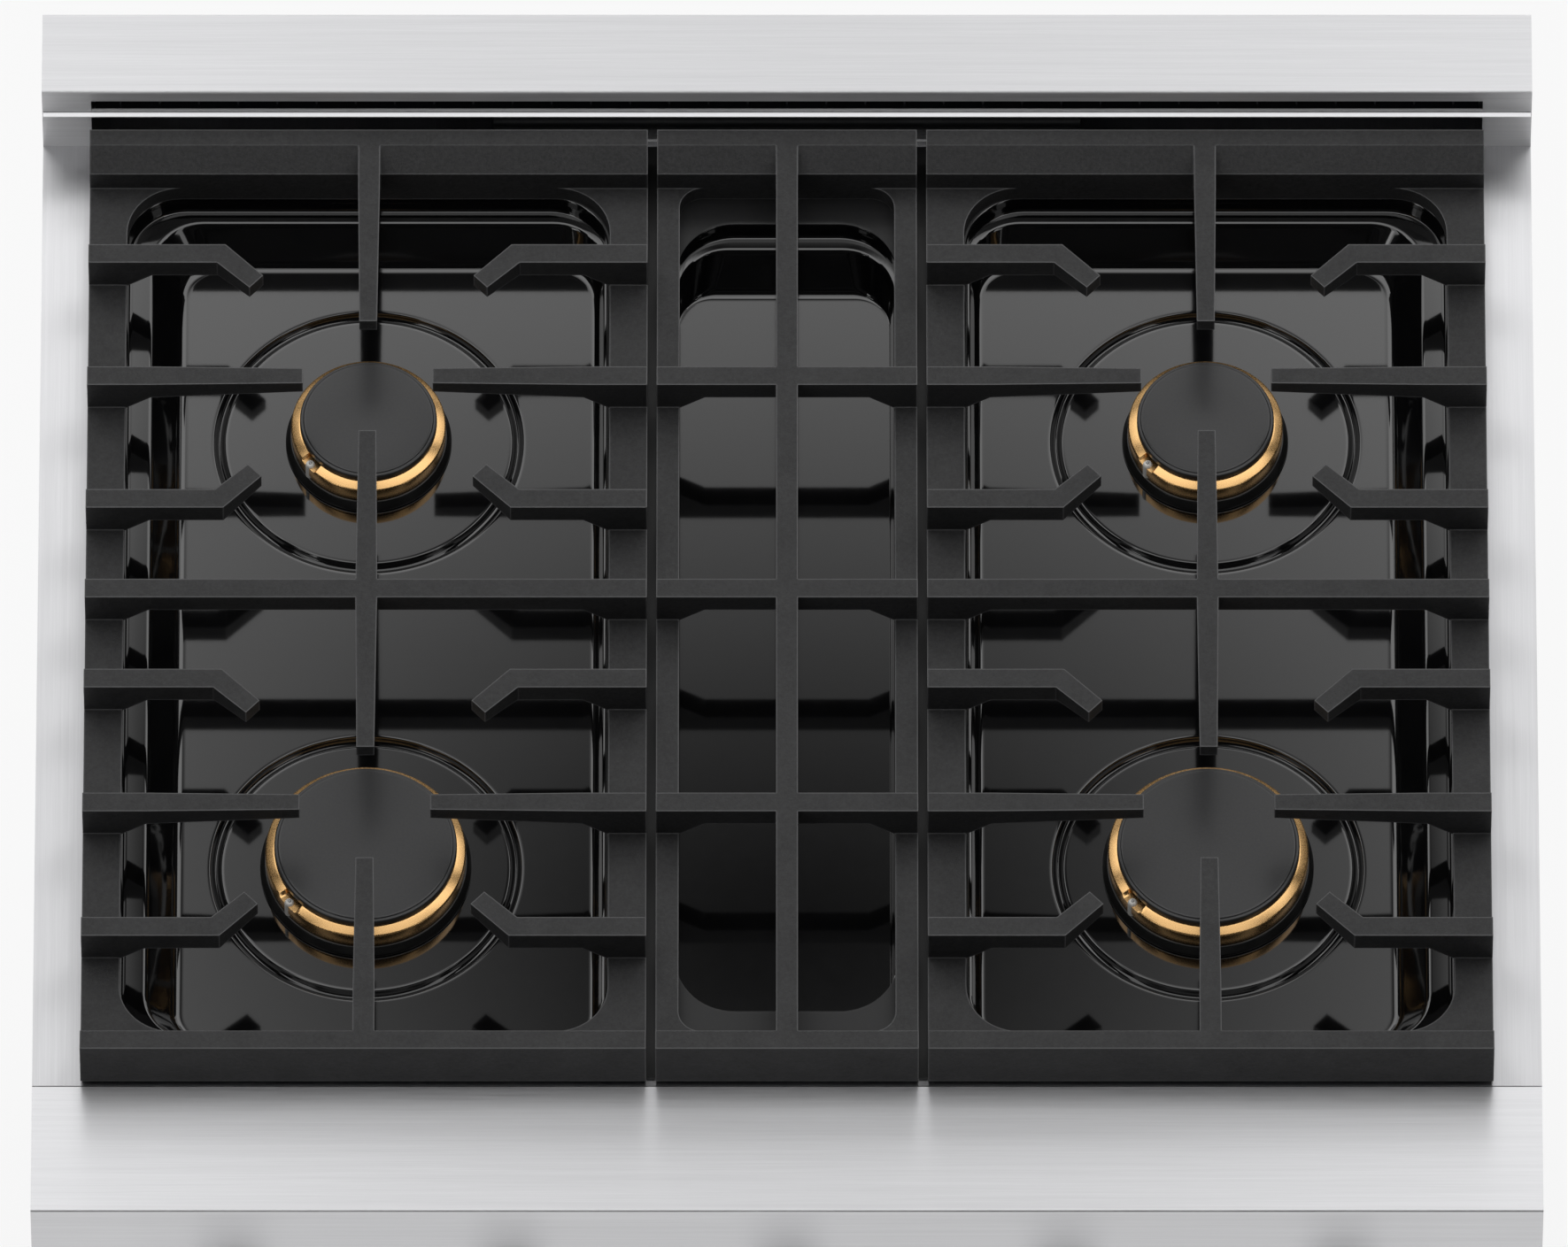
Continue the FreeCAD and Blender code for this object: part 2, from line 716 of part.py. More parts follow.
def center_grate():
    reach = center_grate_x
    middle_d = (front_burner_d + rear_burner_d) / 2
    pieces = [side_rail(-reach, -reach + center_rail_width), side_rail(reach - center_rail_width, reach)]
    pieces += cross_rails(-reach, reach)
    pieces += gussets(-reach + center_rail_width, reach - center_rail_width, center_gusset_radius)
    for d in (front_burner_d, middle_d, rear_burner_d):
        for side in (-1, 1):
            pieces += rooted_bar(side * reach, d, 0, d, center_rail_width, bar_width, bar_thickness)
    for start_d in (grate_front_d + cross_bar_start, grate_rear_d - cross_bar_start):
        pieces += rooted_bar(0, start_d, 0, middle_d, cross_bar_root, bar_width, bar_thickness)
    return joined(pieces)


# ---------------------------------------------------------------- burners
def ring_radius(cap_radius):
    return cap_radius + ring_overhang


def igniter_place(x, d, cap_radius):
    """The igniter stands in the ring's edge, to the front and left."""
    reach = ring_radius(cap_radius) - 2.0
    angle = math.radians(igniter_angle)
    return x + reach * math.cos(angle), d + reach * math.sin(angle)


def burner_bases():
    bases = []
    for x, d, cap_radius in burners.values():
        outer = ring_radius(cap_radius)
        boss = outer - ring_width - seat_gap
        floor = level(pan_floor_level)
        top = level(ring_bottom_level)
        boss_top = level(ring_top_level) - 4.5
        profile = [(0, floor), (outer + base_flare, floor), (outer + base_flare, floor + 2.0),
                   (outer + 0.5, top), (boss, top), (boss, boss_top), (0, boss_top)]
        stub = upright(x, d, burner_stub_radius, burner_stub_bottom_z, floor + 1)
        igniter_x, igniter_d = igniter_place(x, d, cap_radius)
        hole = upright(igniter_x, igniter_d, igniter_radius + seat_gap, floor - 1, top + 1)
        bases.append(joined([turned(profile, x, d), stub]).cut(hole))
    return Part.makeCompound(bases)


def flame_rings():
    rings = []
    for x, d, cap_radius in burners.values():
        outer = ring_radius(cap_radius)
        inner = outer - ring_width
        low = level(ring_bottom_level)
        high = level(ring_top_level)
        profile = [(inner, low), (outer, low), (outer, low + ring_side_height), (outer - ring_bevel, high),
                   (inner, high)]
        ring = turned(profile, x, d)
        igniter_x, igniter_d = igniter_place(x, d, cap_radius)
        ring = ring.cut(upright(igniter_x, igniter_d, igniter_radius + 1.2, low - 1, high + 1))
        ports = []
        port_count = 2 * int(outer / 3.5)
        for index in range(port_count):
            angle = 360.0 * (index + 0.5) / port_count
            port = Part.makeBox(port_reach + 1, port_width, port_height,
                                place(x + inner - 1, d - port_width / 2, high - port_depth))
            port.rotate(place(x, d, 0), Vector(0, 0, 1), angle)
            if abs(angle - igniter_angle) > 12:
                ports.append(port)
        rings.append(ring.cut(Part.makeCompound(ports)))
    return Part.makeCompound(rings)


def burner_cap(name):
    x, d, cap_radius = burners[name]
    low = level(ring_top_level) + seat_gap
    top = low + cap_thickness
    skirt_outer = ring_radius(cap_radius) - ring_width - 0.6
    skirt_low = low - 3.0
    rounding = 1.2
    profile = [(0, low), (skirt_outer - 4.0, low), (skirt_outer - 4.0, skirt_low), (skirt_outer, skirt_low),
               (skirt_outer, low), (cap_radius, low), (cap_radius, top - rounding),
               (cap_radius - rounding, top), (0, top)]
    return turned(profile, x, d)


def igniters():
    pieces = []
    for x, d, cap_radius in burners.values():
        igniter_x, igniter_d = igniter_place(x, d, cap_radius)
        low = level(pan_floor_level) - 18.0
        shoulder = level(ring_top_level) - 1.0
        ceramic = upright(igniter_x, igniter_d, igniter_radius, low, shoulder)
        tip = upright(igniter_x, igniter_d, igniter_tip_radius, shoulder - 1, shoulder + 0.8)
        pieces.append(joined([ceramic, tip]))
    return Part.makeCompound(pieces)


# ---------------------------------------------------------------- controls and gas
def control_panel():
    front_d = panel_setback
    outer = block(-panel_x, panel_x, front_d, frame_front_d, panel_bottom, ledge_bottom_z)
    hollow = block(-panel_x + sheet, panel_x - sheet, front_d + sheet, frame_front_d + 1,
                   panel_bottom + sheet, ledge_bottom_z + 1)
    bezels = []
    holes = []
    for x in knob_places.values():
        bezel_inner = knob_skirt_radius + 1.0
        outer_ring = rod(place(x, front_d - bezel_height, knob_height),
                         place(x, front_d + sheet / 2, knob_height), bezel_inner + bezel_width)
        holes.append(rod(place(x, front_d - bezel_height - 1, knob_height), place(x, front_d, knob_height),
                         bezel_inner))
        holes.append(rod(place(x, front_d - 1, knob_height), place(x, front_d + sheet + 1, knob_height),
                         stem_radius + 2.0))
        bezels.append(outer_ring)
    return cut_all(joined([outer.cut(hollow)] + bezels), holes)


def knob(name):
    x = knob_places[name]
    rear_d = panel_setback - knob_stand_off
    front_d = rear_d - knob_length
    skirt = rod(place(x, rear_d, knob_height), place(x, rear_d - knob_skirt, knob_height), knob_skirt_radius)
    body = Part.makeCone(knob_radius, knob_radius - 1.5, knob_length - knob_skirt,
                         place(x, rear_d - knob_skirt, knob_height), Vector(0, -1, 0))
    rim = [edge for edge in body.Edges if abs(edge.CenterOfMass.y - (front_y + front_d)) < 0.01]
    body = body.makeFillet(2.5, rim)
    bore = rod(place(x, rear_d + 1, knob_height), place(x, rear_d - stem_in_knob, knob_height),
               stem_radius + running_gap)
    pointer = block(x - 1.2, x + 1.2, front_d - 1, rear_d - knob_skirt - 3.0, knob_height + knob_radius - 3.0,
                    knob_height + knob_radius + 2.0)
    return joined([skirt, body]).cut(bore).cut(pointer)


def valve_stem(name):
    x = knob_places[name]
    front_d = panel_setback - knob_stand_off - stem_in_knob + seat_gap
    rear_d = valve_front_d + stem_in_valve
    return rod(place(x, front_d, knob_height), place(x, rear_d, knob_height), stem_radius)


def gas_valves():
    valves = []
    for x in knob_places.values():
        body = block(x - valve_width / 2, x + valve_width / 2, valve_front_d, valve_rear_d,
                     knob_height - valve_width / 2, knob_height + valve_width / 2)
        bore = rod(place(x, valve_front_d - 1, knob_height),
                   place(x, valve_front_d + stem_in_valve + push_travel + 2.0, knob_height),
                   stem_radius + running_gap)
        valves.append(body.cut(bore))
    return Part.makeCompound(valves)


def gas_manifold():
    pieces = [
        rod(place(-2 * knob_pitch - manifold_end, manifold_d, knob_height),
            place(inlet_x, manifold_d, knob_height), manifold_radius),
        Part.makeSphere(manifold_radius + elbow_wall, place(inlet_x, manifold_d, knob_height)),
        rod(place(inlet_x, manifold_d, knob_height), place(inlet_x, regulator_front_d, knob_height),
            manifold_radius),
    ]
    return joined(pieces)


def burner_tubes():
    tubes = []
    for name, (x, d, cap_radius) in burners.items():
        valve_x = knob_places[name]
        start = place(valve_x, valve_rear_d - 10.0, knob_height + valve_width / 2)
        rise = place(valve_x, valve_rear_d - 10.0, tube_run_z)
        under = place(x, d, tube_run_z)
        top = place(x, d, burner_stub_bottom_z)
        pieces = [rod(start, rise, tube_radius), rod(rise, under, tube_radius), rod(under, top, tube_radius)]
        pieces += [Part.makeSphere(tube_radius + elbow_wall, corner) for corner in (rise, under)]
        tubes.append(joined(pieces))
    return Part.makeCompound(tubes)


def pressure_regulator():
    body = block(inlet_x - regulator_half_width, inlet_x + regulator_half_width, regulator_front_d,
                 regulator_rear_d, knob_height - 24, knob_height + 18)
    middle_d = (regulator_front_d + regulator_rear_d) / 2
    bonnet = upright(inlet_x, middle_d, 20.0, knob_height + 17, knob_height + 32)
    collar = rod(place(inlet_x, regulator_rear_d - 1, knob_height), place(inlet_x, body_depth, knob_height),
                 inlet_collar_radius)
    hole = rod(place(inlet_x, body_depth - inlet_hole_depth, knob_height),
               place(inlet_x, body_depth + 1, knob_height), inlet_hole_radius)
    return joined([body, bonnet, collar]).cut(hole)


def spark_module():
    width, depth, height = spark_module_size
    low = panel_bottom + 10.0
    high = low + height
    case = rounded_block(-inner_x, -inner_x + width, spark_module_d, spark_module_d + depth, low, high, 4.0)
    pieces = [case]
    for index in range(5):
        d = spark_module_d + 12.0 + 18.0 * index
        pieces.append(block(-inner_x + 12, -inner_x + 13, d, d + 6, high - 1, high + 8))
    return joined(pieces)


def power_inlet():
    bushing = rod(place(cord_inlet_x, rear_panel_d - 8, cord_inlet_z),
                  place(cord_inlet_x, body_depth - 0.2, cord_inlet_z), cord_bushing_radius)
    terminal_box = block(cord_inlet_x - 25, cord_inlet_x + 25, rear_panel_d - 24, rear_panel_d,
                         cord_inlet_z - 18, cord_inlet_z + 18)
    bore = rod(place(cord_inlet_x, rear_panel_d - 14, cord_inlet_z),
               place(cord_inlet_x, body_depth + 1, cord_inlet_z), cord_inlet_radius)
    return joined([bushing, terminal_box]).cut(bore)


# ---------------------------------------------------------------- oven
def oven_front_frame():
    frame = window_frame((inner_x, frame_bottom, panel_bottom),
                         (oven_half_width, oven_floor_z - 2.0, oven_top_z), frame_front_d, cavity_front_d)
    ear = block(hinge_ear_x, hinge_ear_x + hinge_ear_thickness, hinge_d - 4.5, frame_front_d + 1, hinge_z - 5.0,
                hinge_z + 6.0)
    pin = rod(place(hinge_arm_x - 2.0, hinge_d, hinge_z), place(hinge_ear_x + 1, hinge_d, hinge_z),
              hinge_pin_radius)
    hinge = joined([ear, pin])
    return joined([frame, hinge, mirrored(hinge)])


def oven_liner():
    wall = sheet
    outer = block(-oven_half_width - wall, oven_half_width + wall, cavity_front_d, oven_rear_d + wall,
                  oven_bottom_z - wall, oven_top_z + wall)
    hollow = block(-oven_half_width, oven_half_width, cavity_front_d - 1, oven_rear_d, oven_bottom_z,
                   oven_top_z)
    flange = window_frame((oven_half_width + 28, oven_bottom_z - 24, oven_top_z + 28),
                          (oven_half_width, oven_bottom_z, oven_top_z), cavity_front_d, cavity_front_d + wall)
    neck_hole = block(-flue_neck_x, flue_neck_x, oven_rear_d - 1, oven_rear_d + 5, flue_neck_low,
                      flue_neck_high)
    return joined([outer.cut(hollow), flange]).cut(neck_hole)


def oven_insulation():
    wall = sheet
    front_d = cavity_front_d + wall
    reach = oven_half_width + wall + insulation
    outer = block(-reach, reach, front_d, oven_rear_d + wall + insulation, oven_bottom_z - wall - insulation,
                  oven_top_z + wall + insulation)
    hollow = block(-oven_half_width - wall, oven_half_width + wall, front_d - 1, oven_rear_d + wall,
                   oven_bottom_z - wall, oven_top_z + wall)
    neck_hole = block(-flue_neck_x, flue_neck_x, oven_rear_d, oven_rear_d + insulation + 15, flue_neck_low,
                      flue_neck_high)
    return outer.cut(hollow).cut(neck_hole)


def oven_flue():
    duct_top = level(guard_vent_high - 8.0)
    duct_low = flue_neck_low - flue_sump
    duct = block(-flue_x, flue_x, flue_front_d, flue_rear_d, duct_low, duct_top)
    bore = block(-flue_x + sheet, flue_x - sheet, flue_front_d + sheet, flue_rear_d - sheet,
                 duct_low + sheet, duct_top + 1)
    neck = block(-flue_neck_x, flue_neck_x, oven_rear_d, flue_front_d + sheet / 2, flue_neck_low,
                 flue_neck_high)
    neck_bore = block(-flue_neck_x + sheet, flue_neck_x - sheet, oven_rear_d - 1, flue_front_d + sheet + 1,
                      flue_neck_low + sheet, flue_neck_high - sheet)
    return joined([duct, neck]).cut(bore).cut(neck_bore)


def oven_floor():
    reach = oven_half_width - seat_gap
    front_d = cavity_front_d + 1.0
    plate = block(-reach, reach, front_d, oven_rear_d - 1, oven_floor_z - 2, oven_floor_z)
    skirt = block(reach - sheet, reach, front_d, oven_rear_d - 1, oven_bottom_z, oven_floor_z)
    slots = []
    slot_count = int((oven_rear_d - heat_slot_first_d) // heat_slot_pitch)
    for side in (-1, 1):
        x = side * (oven_half_width - heat_slot_inset)
        for index in range(slot_count):
            d = heat_slot_first_d + heat_slot_pitch * index
            slots.append(block(x - 12, x + 12, d, d + 8, oven_floor_z - 5, oven_floor_z + 5))
    return cut_all(joined([plate, skirt, mirrored(skirt)]), slots)


def bake_burner():
    burner_z = oven_bottom_z + 27.0
    front_d = cavity_front_d + 47.0
    rear_d = oven_rear_d - 40.0
    tube = rod(place(0, front_d, burner_z), place(0, rear_d, burner_z), bake_tube_radius)
    feet = [block(-bake_tube_radius, bake_tube_radius, d, d + 10, oven_bottom_z, burner_z - 8)
            for d in (front_d + 40.0, rear_d - 50.0)]
    return joined([tube] + feet)


def broil_burner():
    high = oven_top_z - broil_stud
    low = high - broil_height
    rear_d = broil_front_d + broil_length
    case = block(-broil_half_width, broil_half_width, broil_front_d, rear_d, low, high)
    mouth = block(-broil_half_width + 10, broil_half_width - 10, broil_front_d + 10, rear_d - 10, low - 1,
                  low + 6)
    studs = [upright(side * (broil_half_width - 20), d, 4.0, high - 1, oven_top_z)
             for side in (-1, 1) for d in (broil_front_d + 20, rear_d - 20)]
    return joined([case.cut(mouth)] + studs)


def rack_guides():
    post_x = rung_x + rung_radius + 2.0
    pieces = []
    for z in rung_levels:
        pieces.append(rod(place(rung_x, rack_front_d + 2, z), place(rung_x, rack_rear_d, z), rung_radius))
    for d in (rack_front_d + 20, rack_rear_d - 20):
        pieces.append(upright(post_x, d, rung_radius, oven_floor_z + 5, rung_levels[-1] + 40))
        for z in (rung_levels[0] - 20, rung_levels[-1] + 20):
            pieces.append(rod(place(post_x, d, z), place(oven_half_width, d, z), rung_radius - 0.5))
    return both_sides(joined(pieces))


def oven_rack(rung):
    z = rung_levels[rung] + rung_radius + seat_gap + rack_frame_radius
    third = (rack_rear_d - rack_front_d) / 3
    pieces = []
    for side in (-1, 1):
        x = side * rack_half_width
        pieces.append(rod(place(x, rack_front_d - rack_frame_radius, z),
                          place(x, rack_rear_d + rack_frame_radius, z), rack_frame_radius))
    for index in range(4):
        d = rack_front_d + third * index
        pieces.append(rod(place(-rack_half_width, d, z), place(rack_half_width, d, z), rack_cross_radius))
    count = int((rack_half_width - 20) // rack_wire_pitch)
    for index in range(-count, count + 1):
        x = index * rack_wire_pitch
        pieces.append(rod(place(x, rack_front_d, z), place(x, rack_rear_d, z), rack_wire_radius))
    return joined(pieces)


# ---------------------------------------------------------------- door
def door_notch():
    """The clearance in the door's lower corners for the hinge ears."""
    notch = block(hinge_arm_x - 5.0, hinge_ear_x + hinge_ear_thickness + 4.0, door_split_d - 6.0,
                  door_rear_d + 5, door_bottom - 1, hinge_z + 14.0)
    return joined([notch, mirrored(notch)])


def door_outer_panel():
    outer = block(-door_half_width, door_half_width, door_front_d, door_split_d, door_bottom, door_top)
    hollow = block(-door_half_width + sheet, door_half_width - sheet, door_front_d + sheet, door_split_d + 1,
                   door_bottom + sheet, door_top - sheet)
    window = block(-window_half_width, window_half_width, door_front_d - 1, door_front_d + sheet + 1,
                   window_bottom, window_top)
    return outer.cut(hollow).cut(window).cut(door_notch())


def door_inner_panel():
    outer = block(-door_half_width, door_half_width, door_split_d, door_rear_d, door_bottom, door_top)
    hollow = block(-door_half_width + sheet, door_half_width - sheet, door_split_d - 1, door_rear_d - sheet,
                   door_bottom + sheet, door_top - sheet)
    reach = window_half_width - inner_window_inset
    window = block(-reach, reach, door_rear_d - sheet - 1, door_rear_d + 1, window_bottom + inner_window_inset,
                   window_top - inner_window_inset)
    return outer.cut(hollow).cut(window).cut(door_notch())


def door_outer_glass():
    return block(-window_half_width - window_lap, window_half_width + window_lap, door_front_d + sheet,
                 door_front_d + sheet + glass_thickness, window_bottom - window_lap, window_top + window_lap)


def door_inner_glass():
    rear_d = door_rear_d - sheet
    lap = window_lap - inner_window_inset
    return block(-window_half_width - lap, window_half_width + lap, rear_d - glass_thickness, rear_d,
                 window_bottom - lap, window_top + lap)


def door_gasket():
    inner = (oven_half_width + 8, oven_floor_z - 12, oven_top_z + 8)
    outer = (inner[0] + 12, inner[1] - 12, inner[2] + 12)
    return window_frame(outer, inner, door_rear_d + seat_gap, frame_front_d)


def door_handle_bar():
    center_d = handle_radius + 2.0 - handle_reach
    return rod(place(-handle_half_length, center_d, handle_z), place(handle_half_length, center_d, handle_z),
               handle_radius)


def door_handle_posts():
    post = block(handle_half_length, handle_half_length + handle_post_width, -handle_reach, door_front_d,
                 handle_z - handle_post_height / 2, handle_z + handle_post_height / 2)
    lengthwise = [edge for edge in post.Edges if abs(edge.tangentAt(edge.FirstParameter).y) > 0.9]
    return both_sides(post.makeFillet(5.0, lengthwise))


def door_hinge_arms():
    eye_radius = frame_front_d - hinge_d - 0.5
    x0 = hinge_arm_x
    x1 = hinge_arm_x + hinge_arm_thickness
    eye = rod(place(x0, hinge_d, hinge_z), place(x1, hinge_d, hinge_z), eye_radius)
    strap = block(x0, x1, hinge_d - 5.0, door_rear_d - sheet, hinge_z, hinge_z + 90.0)
    bore = rod(place(x0 - 1, hinge_d, hinge_z), place(x1 + 1, hinge_d, hinge_z), hinge_pin_radius + running_gap)
    return both_sides(joined([eye, strap]).cut(bore))


# ---------------------------------------------------------------- legs
def leg_foot(x, d):
    disc = upright(x, d, foot_radius, 0, foot_disc)
    shoulder = upright(x, d, foot_radius - 3.0, foot_disc - 1, foot_shoulder)
    screw = upright(x, d, foot_rod_radius, foot_shoulder - 1, leg_height - foot_rod_gap)
    return joined([disc, shoulder, screw])


# ---------------------------------------------------------------- the list of nodes
def all_nodes():
    nodes = {
        "base_frame": base_frame(),
        "side_panel_right": side_panel(),
        "side_panel_left": mirrored(side_panel()),
        "rear_panel": rear_panel(),
        "fasteners": fasteners(),
        "kick_panel": kick_panel(),
        "front_ledge": front_ledge(),
        "cooktop_frame": cooktop_frame(),
        "drip_pan": drip_pan(),
        "back_guard": back_guard(),
        "guard_louvre": guard_louvre(),
        "grate_right": side_grate(),
        "grate_left": mirrored(side_grate()),
        "grate_center": center_grate(),
        "burner_bases": burner_bases(),
        "flame_rings": flame_rings(),
        "igniters": igniters(),
        "control_panel": control_panel(),
        "gas_valves": gas_valves(),
        "gas_manifold": gas_manifold(),
        "burner_tubes": burner_tubes(),
        "pressure_regulator": pressure_regulator(),
        "spark_module": spark_module(),
        "power_inlet": power_inlet(),
        "oven_front_frame": oven_front_frame(),
        "oven_liner": oven_liner(),
        "oven_insulation": oven_insulation(),
        "oven_flue": oven_flue(),
        "oven_floor": oven_floor(),
        "bake_burner": bake_burner(),
        "broil_burner": broil_burner(),
        "rack_guides": rack_guides(),
        "oven_rack_lower": oven_rack(lower_rack_rung),
        "oven_rack_upper": oven_rack(upper_rack_rung),
        "door_outer_panel": door_outer_panel(),
        "door_inner_panel": door_inner_panel(),
        "door_outer_glass": door_outer_glass(),
        "door_inner_glass": door_inner_glass(),
        "door_gasket": door_gasket(),
        "door_handle_bar": door_handle_bar(),
        "door_handle_posts": door_handle_posts(),
        "door_hinge_arms": door_hinge_arms(),
    }
    for name in burners:
        nodes["burner_cap_" + name] = burner_cap(name)
    for name in knob_places:
        nodes["knob_" + name] = knob(name)
        nodes["valve_stem_" + name] = valve_stem(name)
    for name, (x, d) in leg_places.items():
        nodes["leg_" + name] = leg_foot(x, d)
    return nodes


os.makedirs("parts", exist_ok=True)
for name, shape in all_nodes().items():
    solids = shape.Solids
    if not solids or not all(solid.isValid() for solid in solids):
        raise RuntimeError("bad solid in " + name)
    shape.exportStep("parts/" + name + ".step")
    box = shape.BoundBox
    print("%-22s %2d solids  x %.1f..%.1f  y %.1f..%.1f  z %.1f..%.1f" % (
        name, len(solids), box.XMin, box.XMax, box.YMin, box.YMax, box.ZMin, box.ZMax))
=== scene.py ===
import bpy
import bmesh
import math
from mathutils import Matrix, Vector


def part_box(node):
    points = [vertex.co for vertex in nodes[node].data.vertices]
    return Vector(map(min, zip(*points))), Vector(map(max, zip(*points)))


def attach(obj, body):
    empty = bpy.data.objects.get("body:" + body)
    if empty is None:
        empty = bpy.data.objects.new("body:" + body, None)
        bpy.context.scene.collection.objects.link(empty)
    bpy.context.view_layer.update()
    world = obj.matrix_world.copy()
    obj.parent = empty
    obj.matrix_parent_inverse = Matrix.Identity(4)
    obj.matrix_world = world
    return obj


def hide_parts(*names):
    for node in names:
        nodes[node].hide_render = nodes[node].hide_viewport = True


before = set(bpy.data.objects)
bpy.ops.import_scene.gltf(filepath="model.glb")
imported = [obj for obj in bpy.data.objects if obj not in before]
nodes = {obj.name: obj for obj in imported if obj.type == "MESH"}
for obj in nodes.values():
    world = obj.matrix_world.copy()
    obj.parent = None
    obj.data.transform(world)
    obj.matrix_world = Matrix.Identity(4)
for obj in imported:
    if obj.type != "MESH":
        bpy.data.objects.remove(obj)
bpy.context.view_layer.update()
scene = bpy.context.scene

# ---------------------------------------------------- places from the frame, in metres
MM = 0.001
BEZEL_HEIGHT = 3 * MM
_, frame_high = [Vector(corner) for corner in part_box("cooktop_frame")]
pan_low, pan_high = [Vector(corner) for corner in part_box("drip_pan")]
guard_low, guard_high = [Vector(corner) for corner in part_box("back_guard")]
panel_low, _ = [Vector(corner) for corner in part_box("control_panel")]
panel_face_y = panel_low.y + BEZEL_HEIGHT
cooktop_z = frame_high.z

# ---------------------------------------------------- the camera and its long lens
CAMERA_ELEVATION = math.radians(57.6)
CAMERA_DISTANCE = 20.0
FRAME_WIDTH = 0.795
SENSOR = 36.0
AIM = Vector((-1.5 * MM, 31.4 * MM, cooktop_z))


def make_camera():
    """The main view's camera, which sees FRAME_WIDTH across at the point it aims at."""
    data = bpy.data.cameras.new("camera")
    data.sensor_width = SENSOR
    data.lens = SENSOR * CAMERA_DISTANCE / FRAME_WIDTH
    data.clip_end = 3 * CAMERA_DISTANCE
    camera = bpy.data.objects.new("camera", data)
    scene.collection.objects.link(camera)
    back = Vector((0.0, -math.cos(CAMERA_ELEVATION), math.sin(CAMERA_ELEVATION)))
    camera.location = AIM + back * CAMERA_DISTANCE
    camera.rotation_euler = back.to_track_quat("Z", "Y").to_euler()
    scene.camera = camera


# ---------------------------------------------------- looks
class Look:
    """A material built round one Principled shader, with its textures in object metres."""

    def __init__(self, name, color, roughness, metallic=0.0, ior=1.5, specular=0.5):
        self.material = bpy.data.materials.new(name)
        self.material.use_nodes = True
        self.tree = self.material.node_tree
        self.shader = self.tree.nodes["Principled BSDF"]
        self.shader.inputs["Base Color"].default_value = (*color, 1.0)
        self.shader.inputs["Roughness"].default_value = roughness
        self.shader.inputs["Metallic"].default_value = metallic
        self.shader.inputs["IOR"].default_value = ior
        self.shader.inputs["Specular IOR Level"].default_value = specular
        self.coords = self.node("ShaderNodeTexCoord").outputs["Object"]

    def node(self, kind, **values):
        made = self.tree.nodes.new(kind)
        for key, value in values.items():
            setattr(made, key, value)
        return made

    def link(self, source, target):
        self.tree.links.new(source, target)

    def noise(self, scale, detail=3.0, roughness=0.55):
        """Noise with its grain given per metre along X, Y and Z."""
        mapping = self.node("ShaderNodeMapping")
        mapping.inputs["Scale"].default_value = scale
        self.link(self.coords, mapping.inputs["Vector"])
        noise = self.node("ShaderNodeTexNoise")
        noise.inputs["Scale"].default_value = 1.0
        noise.inputs["Detail"].default_value = detail
        noise.inputs["Roughness"].default_value = roughness
        self.link(mapping.outputs["Vector"], noise.inputs["Vector"])
        return noise.outputs["Fac"]

    def span(self, value, low, high, start=0.25, end=0.75):
        """A value stretched from the range start to end onto the range low to high."""
        ranged = self.node("ShaderNodeMapRange")
        ranged.inputs["From Min"].default_value = start
        ranged.inputs["From Max"].default_value = end
        ranged.inputs["To Min"].default_value = low
        ranged.inputs["To Max"].default_value = high
        self.link(value, ranged.inputs["Value"])
        return ranged.outputs["Result"]

    def tint(self, value, dark, light, start=0.3, end=0.7):
        """Colours the surface from dark to light along a value."""
        ramp = self.node("ShaderNodeValToRGB")
        ramp.color_ramp.elements[0].position = start
        ramp.color_ramp.elements[0].color = (*dark, 1.0)
        ramp.color_ramp.elements[1].position = end
        ramp.color_ramp.elements[1].color = (*light, 1.0)
        self.link(value, ramp.inputs["Fac"])
        self.link(ramp.outputs["Color"], self.shader.inputs["Base Color"])
        return ramp

    def painted_edge_highlight(self, ramp, color, width):
        """Paints a highlight along the edges: lightens the colour where a rounded normal leaves the true
        one.
        """
        rounded = self.node("ShaderNodeBevel", samples=4)
        rounded.inputs["Radius"].default_value = width
        true = self.node("ShaderNodeNewGeometry")
        match = self.node("ShaderNodeVectorMath", operation="DOT_PRODUCT")
        self.link(rounded.outputs["Normal"], match.inputs[0])
        self.link(true.outputs["Normal"], match.inputs[1])
        mix = self.node("ShaderNodeMix", data_type="RGBA")
        edge_highlight = self.span(match.outputs["Value"], 1.0, 0.0, start=0.8, end=0.99)
        self.link(edge_highlight, mix.inputs["Factor"])
        self.link(ramp.outputs["Color"], mix.inputs["A"])
        mix.inputs["B"].default_value = (*color, 1.0)
        self.link(mix.outputs["Result"], self.shader.inputs["Base Color"])

    def rough(self, value, low, high):
        self.link(self.span(value, low, high), self.shader.inputs["Roughness"])

    def bump(self, value, strength, depth):
        bump = self.node("ShaderNodeBump")
        bump.inputs["Strength"].default_value = strength
        bump.inputs["Distance"].default_value = depth
        self.link(value, bump.inputs["Height"])
        self.link(bump.outputs["Normal"], self.shader.inputs["Normal"])


def shade(color, factor):
    """A colour made darker or lighter."""
    return tuple(channel * factor for channel in color)


# Streaks per metre across and along the brushing: the fine ones, then the broad ones.
STREAKS = ((2600.0, 22.0), (420.0, 5.0))


